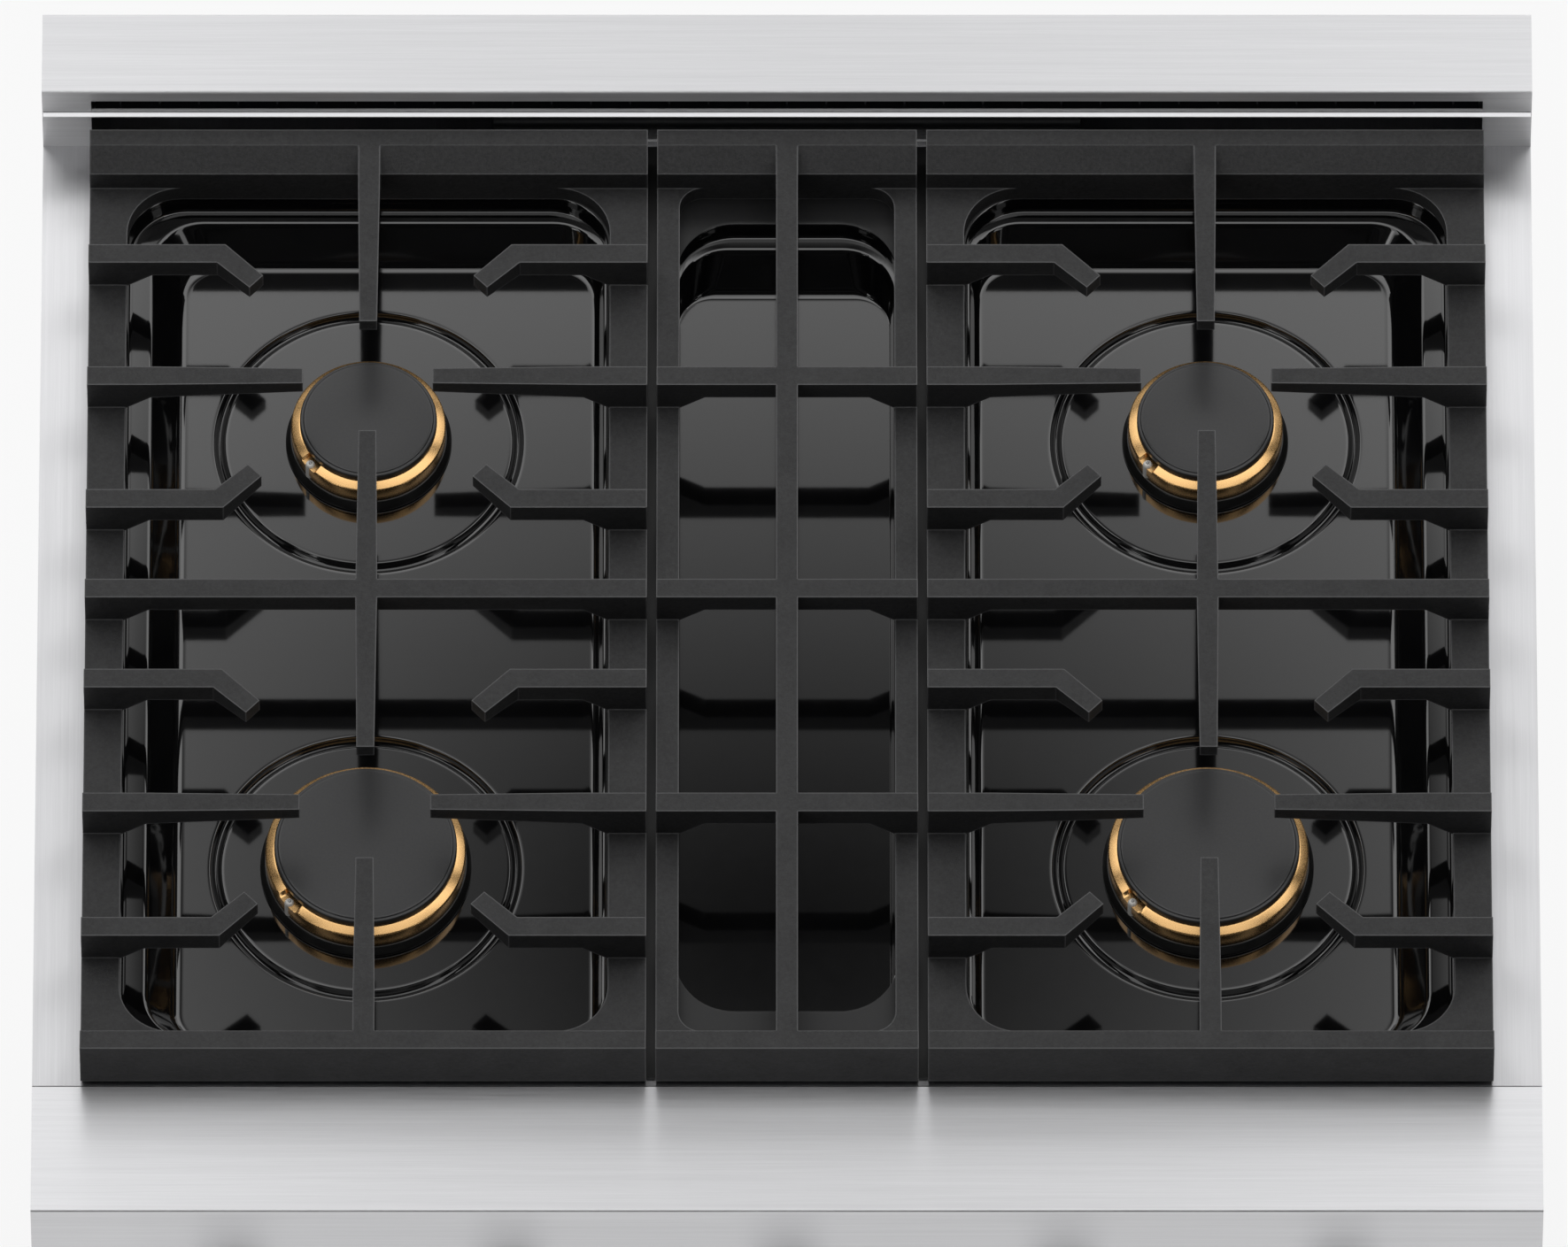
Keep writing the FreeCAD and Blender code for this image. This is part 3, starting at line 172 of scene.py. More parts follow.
def brushed(name, along, color=(0.655, 0.655, 0.668), roughness=0.35, contrast=0.06):
    """Steel brushed along one axis: fine streaks in colour, gloss and height."""
    look = Look(name, color, roughness, metallic=1.0)
    streaks = []
    for across, lengthwise in STREAKS:
        scale = [across] * 3
        scale["XYZ".index(along)] = lengthwise
        streaks.append(look.noise(tuple(scale), detail=4.0, roughness=0.7))
    both = look.node("ShaderNodeMath", operation="MULTIPLY_ADD")
    both.inputs[1].default_value = 0.5
    look.link(streaks[0], both.inputs[0])
    half = look.node("ShaderNodeMath", operation="MULTIPLY")
    half.inputs[1].default_value = 0.5
    look.link(streaks[1], half.inputs[0])
    look.link(half.outputs["Value"], both.inputs[2])
    dark = shade(color, 1 - contrast)
    light = shade(color, 1 + contrast)
    look.tint(both.outputs["Value"], dark, light, 0.36, 0.64)
    look.rough(streaks[0], roughness - 0.06, roughness + 0.06)
    look.bump(both.outputs["Value"], 0.45, 0.1 * MM)
    look.shader.inputs["Anisotropic"].default_value = 0.75
    tangent = look.node("ShaderNodeTangent", direction_type="RADIAL", axis=along)
    look.link(tangent.outputs["Tangent"], look.shader.inputs["Tangent"])
    return look.material


def cast_iron():
    """Rough black iron, dark in its pores, with a painted highlight along each edge."""
    look = Look("cast_iron", (0.02, 0.02, 0.02), 0.5, specular=0.4)
    grain = look.noise((480.0,) * 3, detail=6.0, roughness=0.8)
    patches = look.noise((60.0,) * 3)
    ramp = look.tint(grain, (0.009, 0.009, 0.0095), (0.026, 0.026, 0.027), 0.36, 0.64)
    # painted highlight: a light line along each edge stands in for the light that the rounded edges
    # catch
    look.painted_edge_highlight(ramp, (0.16, 0.16, 0.163), 1.3 * MM)
    look.rough(patches, 0.44, 0.58)
    look.bump(grain, 0.9, 0.3 * MM)
    return look.material


def enamel(name, color, roughness, ior, ripple, grain):
    """Fired enamel: one colour under a skin with faint waves."""
    look = Look(name, color, roughness, ior=ior)
    waves = look.noise((grain,) * 3, detail=2.0)
    look.tint(waves, shade(color, 0.9), shade(color, 1.12))
    look.rough(waves, roughness * 0.92, roughness * 1.1)
    look.bump(waves, ripple, 0.03 * MM)
    return look.material


def turned_metal(name, color, roughness, contrast=0.1, ripple=0.15):
    """Plain metal with a fine even grain."""
    look = Look(name, color, roughness, metallic=1.0)
    marks = look.noise((1500.0,) * 3, roughness=0.65)
    look.tint(marks, shade(color, 1 - contrast), shade(color, 1 + contrast))
    look.rough(marks, roughness * 0.85, roughness * 1.2)
    look.bump(marks, ripple, 0.04 * MM)
    return look.material


def moulded(name, color, roughness, grain=700.0, ripple=0.25, contrast=0.12):
    """Plastic, rubber or ceramic with fine pores."""
    look = Look(name, color, roughness)
    pores = look.noise((grain,) * 3)
    look.tint(pores, shade(color, 1 - contrast), shade(color, 1 + contrast))
    look.rough(pores, roughness * 0.92, roughness * 1.08)
    look.bump(pores, ripple, 0.06 * MM)
    return look.material


def galvanised():
    """Zinc-coated sheet: flat spangles that differ in tone and gloss."""
    look = Look("galvanised_steel", (0.5, 0.51, 0.53), 0.42, metallic=1.0)
    spangle = look.node("ShaderNodeTexVoronoi")
    spangle.inputs["Scale"].default_value = 210.0
    look.link(look.coords, spangle.inputs["Vector"])
    channels = look.node("ShaderNodeSeparateColor")
    look.link(spangle.outputs["Color"], channels.inputs["Color"])
    look.tint(channels.outputs["Red"], (0.47, 0.48, 0.495), (0.56, 0.57, 0.585), 0.1, 0.9)
    gloss = look.span(channels.outputs["Green"], 0.34, 0.5, start=0.0, end=1.0)
    look.link(gloss, look.shader.inputs["Roughness"])
    return look.material


def wool():
    """Mineral wool, with its fibres lying flat."""
    look = Look("mineral_wool", (0.62, 0.55, 0.36), 0.95)
    fibres = look.noise((300.0, 300.0, 900.0), detail=5.0, roughness=0.75)
    look.tint(fibres, (0.42, 0.36, 0.22), (0.72, 0.66, 0.46))
    look.bump(fibres, 0.9, 2.0 * MM)
    return look.material


def glass():
    """Dark oven glass, which lets no light through."""
    look = Look("oven_glass", (0.012, 0.013, 0.014), 0.04, ior=1.52)
    waves = look.noise((25.0,) * 3)
    look.tint(waves, (0.010, 0.011, 0.012), (0.015, 0.016, 0.018))
    look.rough(waves, 0.03, 0.06)
    return look.material


looks = {
    "steel_across": brushed("brushed_steel_across", "X"),
    "steel_lengthwise": brushed("brushed_steel_lengthwise", "Y"),
    "steel_upright": brushed("brushed_steel_upright", "Z"),
    "steel_guard": brushed("brushed_steel_guard", "X", (0.72, 0.72, 0.733), roughness=0.5),
    "polished": brushed("polished_steel", "X", (0.7, 0.7, 0.72), roughness=0.18, contrast=0.03),
    "iron": cast_iron(),
    "cap": enamel("cap_enamel", (0.03, 0.03, 0.031), 0.3, ior=1.5, ripple=0.15, grain=900.0),
    "pan": enamel("pan_enamel", (0.0025, 0.0025, 0.0028), 0.07, ior=1.85, ripple=0.02, grain=160.0),
    "pan_flat": enamel("pan_rim_enamel", (0.005, 0.005, 0.0055), 0.4, ior=1.45, ripple=0.1, grain=400.0),
    "base": enamel("base_enamel", (0.008, 0.008, 0.008), 0.3, ior=1.5, ripple=0.3, grain=700.0),
    "oven": enamel("oven_enamel", (0.016, 0.017, 0.02), 0.2, ior=1.5, ripple=0.25, grain=500.0),
    "brass": turned_metal("brass", (0.88, 0.54, 0.23), 0.27, contrast=0.06),
    "aluminium": turned_metal("aluminium", (0.62, 0.63, 0.64), 0.42),
    "plain_steel": turned_metal("plain_steel", (0.42, 0.42, 0.43), 0.4),
    "lip": turned_metal("folded_lip", (0.72, 0.72, 0.733), 0.35, ripple=0.08, contrast=0.04),
    "knob": turned_metal("knob_metal", (0.6, 0.6, 0.62), 0.24, ripple=0.08, contrast=0.05),
    "chrome": turned_metal("chromed_wire", (0.66, 0.66, 0.68), 0.16, ripple=0.05, contrast=0.05),
    "ceramic": moulded("white_ceramic", (0.82, 0.8, 0.76), 0.32, ripple=0.1, contrast=0.05),
    "plastic": moulded("black_plastic", (0.02, 0.02, 0.022), 0.45),
    "rubber": moulded("gasket", (0.03, 0.03, 0.03), 0.7, grain=1500.0, ripple=0.5),
    "marks": moulded("panel_marks", (0.03, 0.03, 0.035), 0.5, grain=2500.0, ripple=0.1),
    "galvanised": galvanised(),
    "wool": wool(),
    "glass": glass(),
}


# ---------------------------------------------------- mesh helpers
def new_object(name, mesh_data, body, look, slot, *replaced):
    """Makes a piece of a finished mesh and says which body it rides and which nodes it replaces."""
    mesh = bpy.data.meshes.new(name)
    bmesh.ops.remove_doubles(mesh_data, verts=mesh_data.verts, dist=1e-6)
    bmesh.ops.recalc_face_normals(mesh_data, faces=mesh_data.faces)
    mesh_data.to_mesh(mesh)
    mesh_data.free()
    for polygon in mesh.polygons:
        polygon.use_smooth = True
    mesh.set_sharp_from_angle(angle=math.radians(40))
    mesh.materials.append(looks[look])
    made = bpy.data.objects.new(name, mesh)
    scene.collection.objects.link(made)
    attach(made, body)
    if replaced:
        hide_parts(*replaced)
    return made


def eased(points, radius, steps=3):
    """The same line with each inner corner turned into a short curve."""
    points = [Vector(point) for point in points]
    result = [points[0]]
    for before, corner, after in zip(points, points[1:], points[2:]):
        back = before - corner
        ahead = after - corner
        start = corner + back.normalized() * min(radius, back.length * 0.45)
        end = corner + ahead.normalized() * min(radius, ahead.length * 0.45)
        for step in range(steps + 1):
            t = step / steps
            result.append(start * (1 - t) ** 2 + corner * 2 * t * (1 - t) + end * t ** 2)
    result.append(points[-1])
    return result


def lathe(mesh, profile, matrix, segments=144, shape=None):
    """Turns (radius, height) points about the matrix's own Z axis; shape may change both by angle."""
    rings = []
    for index in range(segments):
        angle = 2 * math.pi * index / segments
        ring = []
        for radius, height in profile:
            if shape:
                radius, height = shape(angle, radius, height)
            point = Vector((radius * math.cos(angle), radius * math.sin(angle), height))
            ring.append(mesh.verts.new(matrix @ point))
        rings.append(ring)
    for ring, following in zip(rings, rings[1:] + rings[:1]):
        for index in range(len(profile) - 1):
            corners = [ring[index], following[index], following[index + 1], ring[index + 1]]
            if profile[index][0] < 1e-7:
                corners = [ring[index], following[index + 1], ring[index + 1]]
            elif profile[index + 1][0] < 1e-7:
                corners = [ring[index], following[index], ring[index + 1]]
            mesh.faces.new(corners)


def turned(mesh, points, matrix, ease, segments=144, steps=3, shape=None):
    """A lathe whose points are in millimetres, with each corner eased."""
    profile = eased([(radius * MM, height * MM) for radius, height in points], ease * MM, steps)
    lathe(mesh, [(point.x, point.y) for point in profile], matrix, segments, shape)


def plate(mesh, matrix, width, length, thickness):
    """A thin bar centred on the matrix's origin, rising from it along the matrix's Z axis."""
    corners = [(x * width / 2, y * length / 2) for x, y in ((-1, -1), (1, -1), (1, 1), (-1, 1))]
    foot = [mesh.verts.new(matrix @ Vector((x, y, 0))) for x, y in corners]
    top = [mesh.verts.new(matrix @ Vector((x, y, thickness))) for x, y in corners]
    band(mesh, foot, top)
    mesh.faces.new(top)
    mesh.faces.new(foot[::-1])


def facing(point, direction):
    """A matrix at point whose Z axis points along direction."""
    turn = Vector(direction).to_track_quat("Z", "Y").to_matrix().to_4x4()
    return Matrix.Translation(point) @ turn


def rounded_loop(mesh, x0, x1, y0, y1, z, radius, steps=14):
    """Vertices round a level rectangle with round corners."""
    corners = [(x1 - radius, y1 - radius, 0), (x0 + radius, y1 - radius, 90),
               (x0 + radius, y0 + radius, 180), (x1 - radius, y0 + radius, 270)]
    loop = []
    for x, y, start in corners:
        for step in range(steps + 1):
            angle = math.radians(start + 90 * step / steps)
            across = radius * math.cos(angle)
            back = radius * math.sin(angle)
            loop.append(mesh.verts.new((x + across, y + back, z)))
    return loop


def circle_loop(mesh, x, y, z, radius, count=128):
    """Vertices round a level circle."""
    loop = []
    for index in range(count):
        angle = 2 * math.pi / count * index
        across = radius * math.cos(angle)
        back = radius * math.sin(angle)
        loop.append(mesh.verts.new((x + across, y + back, z)))
    return loop


def loop_edges(mesh, loop):
    """The edges round a closed loop of vertices, made where they are missing."""
    edges = []
    for start, end in zip(loop, loop[1:] + loop[:1]):
        edge = mesh.edges.get((start, end))
        edges.append(edge if edge else mesh.edges.new((start, end)))
    return edges


def band(mesh, outer, inner):
    """Quads between two loops of the same length."""
    for index in range(len(outer)):
        following = (index + 1) % len(outer)
        mesh.faces.new([outer[index], outer[following], inner[following], inner[index]])


def bevel(made, width):
    """Rounds a piece's sharp edges by a width in millimetres."""
    modifier = made.modifiers.new("edge_bevel", "BEVEL")
    modifier.width = width * MM
    modifier.segments = 2
    modifier.limit_method = "ANGLE"
    modifier.angle_limit = math.radians(30)
    modifier.use_clamp_overlap = True
    modifier.harden_normals = True


def flat_fill(mesh, *loops):
    """Fills a flat face inside the first loop and outside the others."""
    edges = []
    for loop in loops:
        edges += loop_edges(mesh, loop)
    bmesh.ops.triangle_fill(mesh, edges=edges, use_beauty=True)


# ---------------------------------------------------- where the burners are
BURNERS = ("left_front", "left_rear", "right_front", "right_rear")


def burner(name):
    """A burner's centre, its cap's radius, its ring's lowest and highest level, and its cap's top."""
    low, high = [Vector(corner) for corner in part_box("burner_cap_" + name)]
    center = (low + high) / 2
    ring_low, ring_high = [Vector(corner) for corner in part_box("flame_rings")]
    return center, (high.x - low.x) / 2, ring_low.z, ring_high.z, high.z


# ---------------------------------------------------- drip pan
PAN_RIM = 1.5 * MM
RIM_SLACK = 0.2 * MM
REAR_LIP = 6.5 * MM
# A side well from rim to floor, in millimetres: the steps inwards from its outer, inner, front
# and rear sides, the level from the steel top, and the corner radius.
WELL_STEPS = [
    (-2.4, -2.4, -2.4, -2.4, 1.5, 31),
    (-1.2, -1.2, -1.2, -1.2, 1.5, 31),
    (-0.5, -0.5, -0.5, -0.5, 1.3, 30),
    (-0.1, -0.1, -0.1, -0.1, 0.9, 30),
    (0.1, 0.0, 0.0, 0.0, 0.3, 30),
    (1.2, 0.3, 0.6, 0.8, -6.0, 30),
    (1.5, 0.4, 0.8, 1.1, -7.4, 30),
    (2.1, 0.5, 1.2, 1.7, -8.2, 29),
    (3.0, 0.7, 1.7, 2.3, -8.4, 28),
    (3.6, 0.8, 2.1, 2.7, -8.42, 28),
    (11.4, 1.4, 4.4, 7.2, -8.7, 27),
    (12.4, 1.7, 5.0, 8.0, -8.8, 26),
    (13.4, 1.9, 5.5, 8.8, -9.2, 26),
    (14.4, 2.2, 6.0, 9.6, -10.2, 25),
    (15.2, 2.4, 6.5, 10.3, -11.3, 25),
    (25.2, 4.6, 12.3, 19.9, -26.0, 20),
    (26.2, 4.9, 12.9, 20.8, -27.3, 20),
    (28.0, 5.7, 14.2, 22.4, -29.1, 19),
    (30.2, 7.0, 16.0, 24.4, -29.9, 17),
    (31.2, 7.8, 17.0, 25.4, -30.0, 17),
    (32.4, 8.8, 18.0, 26.4, -30.0, 16),
]
WELL_FLOOR_Z = cooktop_z + WELL_STEPS[-1][4] * MM
# The side wells' inner and outer sides from the middle, and their gaps to the pan's front and rear.
SIDE_WELL = (91.5 * MM, 337 * MM, 24 * MM, 25 * MM)
# The centre well's half width and its front and rear gaps; its left and right sides are steeper.
CENTER_WELL = (56 * MM, 40 * MM, 41 * MM)
CENTER_WELL_SLOPE = 0.12
# The groove round a burner, in millimetres: (step inwards from GROOVE_RADIUS, level in the floor).
GROOVE_RADIUS = 79 * MM
GROOVE_STEPS = [
    (-1.6, 0.0), (-0.4, 0.0), (0.0, -0.08), (0.35, -0.4), (0.8, -1.05), (1.4, -1.9), (2.1, -2.6),
    (3.0, -2.95), (3.9, -2.6), (4.6, -1.9), (5.2, -1.05), (5.65, -0.4), (6.0, -0.08), (6.4, 0.0),
    (7.6, 0.0), (44.0, 0.0),
]


def well_rings(mesh, x0, x1, y0, y1, outer_at_x1, slope=1.0):
    """Lofts one well and returns its rim loop and its floor loop."""
    rings = []
    for outer, inner, front, rear, height, radius in WELL_STEPS:
        left, right = (inner, outer) if outer_at_x1 else (outer, inner)
        left_x = x0 + left * MM * slope
        right_x = x1 - right * MM * slope
        level = cooktop_z + height * MM
        ring = rounded_loop(mesh, left_x, right_x, y0 + front * MM, y1 - rear * MM, level, radius * MM)
        rings.append(ring)
    for ring, following in zip(rings, rings[1:]):
        band(mesh, ring, following)
    return rings[0], rings[-1]


def burner_floor(mesh, x, y):
    """The round groove in the well's floor and the flat disc inside it; returns its outer loop."""
    loops = []
    for inward, drop in GROOVE_STEPS:
        level = WELL_FLOOR_Z + drop * MM
        loops.append(circle_loop(mesh, x, y, level, GROOVE_RADIUS - inward * MM))
    for loop, following in zip(loops, loops[1:]):
        band(mesh, loop, following)
    return loops[0]


def drip_pan():
    """The pan's flat rim, its three wells and a groove round each burner."""
    mesh = bmesh.new()
    front_y = pan_low.y
    rear_y = pan_high.y + REAR_LIP
    outline = [(pan_low.x, front_y), (pan_high.x, front_y), (pan_high.x, rear_y), (pan_low.x, rear_y)]
    top = [mesh.verts.new((x, y, cooktop_z + PAN_RIM)) for x, y in outline]
    foot = [mesh.verts.new((x, y, cooktop_z)) for x, y in outline]
    band(mesh, foot, top)
    inner_x, outer_x, front, rear = SIDE_WELL
    rims = []
    for side in (-1, 1):
        x0, x1 = sorted([side * inner_x, side * outer_x])
        rim, floor = well_rings(mesh, x0, x1, pan_low.y + front, pan_high.y - rear, side > 0)
        rims.append(rim)
        grooves = []
        for name in BURNERS:
            center = burner(name)[0]
            if center.x * side > 0:
                grooves.append(burner_floor(mesh, center.x, center.y))
        flat_fill(mesh, floor, *grooves)
    half, front, rear = CENTER_WELL
    y0 = pan_low.y + front
    y1 = pan_high.y - rear
    rim, floor = well_rings(mesh, -half, half, y0, y1, True, CENTER_WELL_SLOPE)
    rims.append(rim)
    flat_fill(mesh, floor)
    flat_fill(mesh, top, *rims)
    pan = new_object("drip_pan_enamelled", mesh, "cabinet", "pan", "gloss_enamel", "drip_pan")
    pan.data.materials.append(looks["pan_flat"])
    for polygon in pan.data.polygons:
        if polygon.center.z > cooktop_z + PAN_RIM - RIM_SLACK:
            polygon.material_index = 1


# ---------------------------------------------------- burners
IGNITER_ANGLE = math.radians(218)
IGNITER_GAP = math.radians(7.5)
IGNITER_LENGTH = 40 * MM
RING_OVERHANG = 4.5 * MM
RING_WIDTH = 8 * MM
RING_CUT = 2.6 * MM
CAP_GAP = 0.3 * MM


def cut_by_igniter(level):
    """A lathe shape that keeps a ring below a level where the igniter stands in it."""
    def shape(angle, radius, height):
        turn = abs((angle - IGNITER_ANGLE + math.pi) % (2 * math.pi) - math.pi)
        if turn < IGNITER_GAP:
            height = min(height, level)
        return radius, height
    return shape


# The profiles below are (radius, height) pairs in millimetres.
def burner_cap(name):
    """A flat cap with a shallow groove near its edge and a skirt that sits inside the ring."""
    center, radius, _, ring_high, cap_top = burner(name)
    low = (ring_high + CAP_GAP) / MM
    radius /= MM
    top = cap_top / MM
    skirt = radius + RING_OVERHANG / MM - RING_WIDTH / MM - 0.6
    points = [
        (0, low + 0.6), (skirt - 4, low + 0.6), (skirt - 4, low - 3), (skirt, low - 3), (skirt, low),
        (radius - 0.5, low), (radius, low + 0.6), (radius, top - 1.6), (radius - 0.5, top - 0.9),
        (radius - 1.3, top - 0.75), (radius - 1.7, top - 0.85), (radius - 2.0, top - 0.25),
        (radius - 2.8, top - 0.1), (radius * 0.6, top), (0, top),
    ]
    mesh = bmesh.new()
    turned(mesh, points, Matrix.Translation((center.x, center.y, 0)), ease=0.25, segments=192)
    piece = "burner_cap_enamelled_" + name
    new_object(piece, mesh, "cap_" + name, "cap", "matt_enamel", "burner_cap_" + name)


def flame_rings():
    """The four brass rings, bevelled down to the outside and cut low beside the igniter."""
    mesh = bmesh.new()
    for name in BURNERS:
        center, radius, ring_low, ring_high, _ = burner(name)
        outer = (radius + RING_OVERHANG) / MM
        inner = outer - RING_WIDTH / MM
        low = ring_low / MM
        top = ring_high / MM
        points = [
            (inner, low), (outer - 0.9, low), (outer - 0.5, low + 0.5), (outer - 0.5, low + 2.0),
            (outer, low + 2.5), (outer, top - 2.3), (outer - 0.5, top - 1.7), (outer - 4.0, top - 0.2),
            (outer - 4.6, top), (inner, top), (inner, low),
        ]
        place = Matrix.Translation((center.x, center.y, 0))
        cut = cut_by_igniter(ring_high - RING_CUT)
        turned(mesh, points, place, ease=0.2, segments=240, steps=2, shape=cut)
    new_object("flame_rings_brass", mesh, "cabinet", "brass", "brass", "flame_rings")


def burner_bases():
    """The four cast bases, each with a stub below the pan."""
    mesh = bmesh.new()
    for name in BURNERS:
        center, radius, ring_low, ring_high, _ = burner(name)
        outer = (radius + RING_OVERHANG) / MM
        seat = ring_low / MM
        bowl = ring_high / MM - 4.5
        floor = WELL_FLOOR_Z / MM
        points = [
            (0, floor + 0.2), (outer + 2.9, floor + 0.2), (outer + 2.9, floor + 1.6),
            (outer + 1.5, floor + 4.2), (outer + 0.5, seat), (outer - 8.4, seat), (outer - 8.4, bowl),
            (0, bowl),
        ]
        stub = [(0, floor - 28), (19.5, floor - 28), (19.8, floor - 27), (19.8, floor)]
        place = Matrix.Translation((center.x, center.y, 0))
        turned(mesh, points, place, ease=0.6, segments=160)
        lathe(mesh, [(x * MM, z * MM) for x, z in stub], place, segments=64)
    new_object("burner_bases_cast", mesh, "cabinet", "base", "dark_coated_steel", "burner_bases")


def igniters():
    """The four white igniters, each with a steel tip."""
    ceramic = bmesh.new()
    wire = bmesh.new()
    for name in BURNERS:
        center, radius, _, ring_high, _ = burner(name)
        reach = radius + RING_OVERHANG - 2 * MM
        x = center.x + reach * math.cos(IGNITER_ANGLE)
        y = center.y + reach * math.sin(IGNITER_ANGLE)
        place = Matrix.Translation((x, y, 0))
        top = ring_high / MM - 1
        low = top - IGNITER_LENGTH / MM
        rod = [(0, low), (2.5, low), (2.5, top - 3), (2.45, top - 1.2), (1.7, top), (0, top)]
        tip = [(0, top - 1), (0.8, top - 1), (0.8, top + 0.5), (0, top + 0.8)]
        turned(ceramic, rod, place, ease=0.6, segments=32)
        turned(wire, tip, place, ease=0.3, segments=16)
    new_object("igniters_ceramic", ceramic, "cabinet", "ceramic", "ceramic", "igniters")
    new_object("igniter_tips", wire, "cabinet", "plain_steel", "plain_steel")


# ---------------------------------------------------- controls and handle
KNOBS = ("left_front", "left_rear", "oven", "right_rear", "right_front")
KNOB_FLUTES = 36
FLUTE_DEPTH = 0.45 * MM
GRIP_BACK = 10 * MM
GRIP_FRONT = 33 * MM
GRIP_RADIUS = 18 * MM
POINTER_WIDTH = 2.2 * MM
POINTER_LENGTH = 11.5 * MM
POINTER_PLACE = 9.6 * MM
# The scale on the panel, in millimetres: one long tick where a knob is off, then the short ones.
SHORT_TICKS = 11
TICK_TURN = math.radians(24)
TICK_RADIUS = 35.4
TICK_HEIGHT = 0.15
LONG_TICK = (4.6, 1.5)
SHORT_TICK = (2.6, 0.8)


def flute(angle, radius, height):
    """A lathe shape that presses shallow flutes into the knob's grip."""
    if GRIP_BACK < height < GRIP_FRONT and radius > GRIP_RADIUS:
        radius -= FLUTE_DEPTH * abs(math.sin(KNOB_FLUTES / 2 * angle)) ** 3
    return radius, height


def knob(name):
    """A knob with a skirt, a fluted grip and a dark pointer, turned about the panel's normal."""
    low, high = [Vector(corner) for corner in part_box("knob_" + name)]
    length = (high.y - low.y) / MM
    place = facing(Vector(((low.x + high.x) / 2, high.y, (low.z + high.z) / 2)), (0, -1, 0))
    points = [
        (0, 21.3), (4.3, 21.3), (4.3, 0), (26.4, 0), (27, 0.7), (27, 4.0), (26.2, 5), (23.6, 5.3),
        (22.2, 7), (21.9, 9.5), (21.9, 10.5), (21.6, 16), (21.2, 26), (20.9, 32.5), (20.7, 33.5),
        (20.4, length - 1.6), (18.8, length - 0.1), (17.2, length), (15.6, length - 0.7),
        (0, length - 0.9),
    ]
    mesh = bmesh.new()
    turned(mesh, points, place, ease=0.5, segments=216, shape=flute)
    new_object("knob_turned_" + name, mesh, "knob_" + name, "knob", "knob_metal", "knob_" + name)
    pointer = bmesh.new()
    face = place @ Matrix.Translation((0, POINTER_PLACE, (length - 1.2) * MM))
    plate(pointer, face, POINTER_WIDTH, POINTER_LENGTH, 0.6 * MM)
    new_object("knob_pointer_" + name, pointer, "knob_" + name, "marks", "black_plastic")


def panel_marks():
    """Plain ticks round each knob: a long one where it is off, then short ones along its turn."""
    mesh = bmesh.new()
    for name in KNOBS:
        low, high = [Vector(corner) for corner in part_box("knob_" + name)]
        center = Vector(((low.x + high.x) / 2, panel_face_y, (low.z + high.z) / 2))
        dial = facing(center, (0, -1, 0))
        for index in range(1 + SHORT_TICKS):
            length, width = SHORT_TICK if index else LONG_TICK
            turn = Matrix.Rotation(-TICK_TURN * index, 4, "Z")
            out = Matrix.Translation((0, (TICK_RADIUS + length / 2) * MM, 0))
            plate(mesh, dial @ turn @ out, width * MM, length * MM, TICK_HEIGHT * MM)
    new_object("panel_scale_marks", mesh, "cabinet", "marks", "black_plastic")


def handle_collars():
    """A collar round each end of the door's handle bar."""
    low, high = [Vector(corner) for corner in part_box("door_handle_bar")]
    radius = (high.z - low.z) / 2 / MM
    points = [
        (radius - 0.6, 0.2), (radius + 1.6, 0.2), (radius + 1.6, 5), (radius + 0.6, 6.2),
        (radius + 0.6, 8.2), (radius - 0.6, 8.8), (radius - 0.6, 0.2),
    ]
    mesh = bmesh.new()
    for x, direction in ((low.x, 1), (high.x, -1)):
        end = Vector((x, (low.y + high.y) / 2, (low.z + high.z) / 2))
        turned(mesh, points, facing(end, (direction, 0, 0)), ease=0.4, segments=96)
    new_object("handle_collars", mesh, "oven_door", "polished", "polished_stainless")


# ---------------------------------------------------- back guard
LIP_LEVEL = 30.4 * MM
LIP_REACH = 2.2 * MM
LIP_SLOPE = math.radians(20)
LIP_THICKNESS = 1.2 * MM
LIP_BEVEL = 0.3


def guard_lip():
    """The folded lip along the lower edge of the slot in the back guard, sloping to the front."""
    mesh = bmesh.new()
    width = guard_high.x - guard_low.x - 0.4 * MM
    place = Matrix.Translation((0, guard_low.y - LIP_REACH / 2, guard_low.z + LIP_LEVEL))
    place = place @ Matrix.Rotation(LIP_SLOPE, 4, "X")
    plate(mesh, place, width, LIP_REACH + 0.4 * MM, LIP_THICKNESS)
    lip = new_object("guard_lip", mesh, "cabinet", "lip", "brushed_stainless")
    bevel(lip, LIP_BEVEL)


# ---------------------------------------------------- CAD nodes that stay: material and bevel
NODE_LOOKS = {
    "steel_across": ("front_ledge", "control_panel", "door_outer_panel", "kick_panel"),
    "steel_lengthwise": ("cooktop_frame",),
    "steel_upright": ("side_panel_left", "side_panel_right"),
    "steel_guard": ("back_guard",),
    "polished": ("door_handle_posts", "door_handle_bar"),
    "iron": ("grate_left", "grate_right", "grate_center"),
    "galvanised": ("base_frame", "rear_panel"),
    "brass": ("gas_valves",),
    "aluminium": ("burner_tubes", "pressure_regulator"),
    "plain_steel": ("fasteners", "gas_manifold", "bake_burner", "broil_burner", "door_hinge_arms"),
    "plastic": ("spark_module", "power_inlet"),
    "oven": (
        "guard_louvre", "oven_front_frame", "oven_liner", "oven_flue", "oven_floor", "door_inner_panel",
    ),
    "wool": ("oven_insulation",),
    "chrome": ("rack_guides", "oven_rack_lower", "oven_rack_upper"),
    "glass": ("door_outer_glass", "door_inner_glass"),
    "rubber": ("door_gasket",),
}
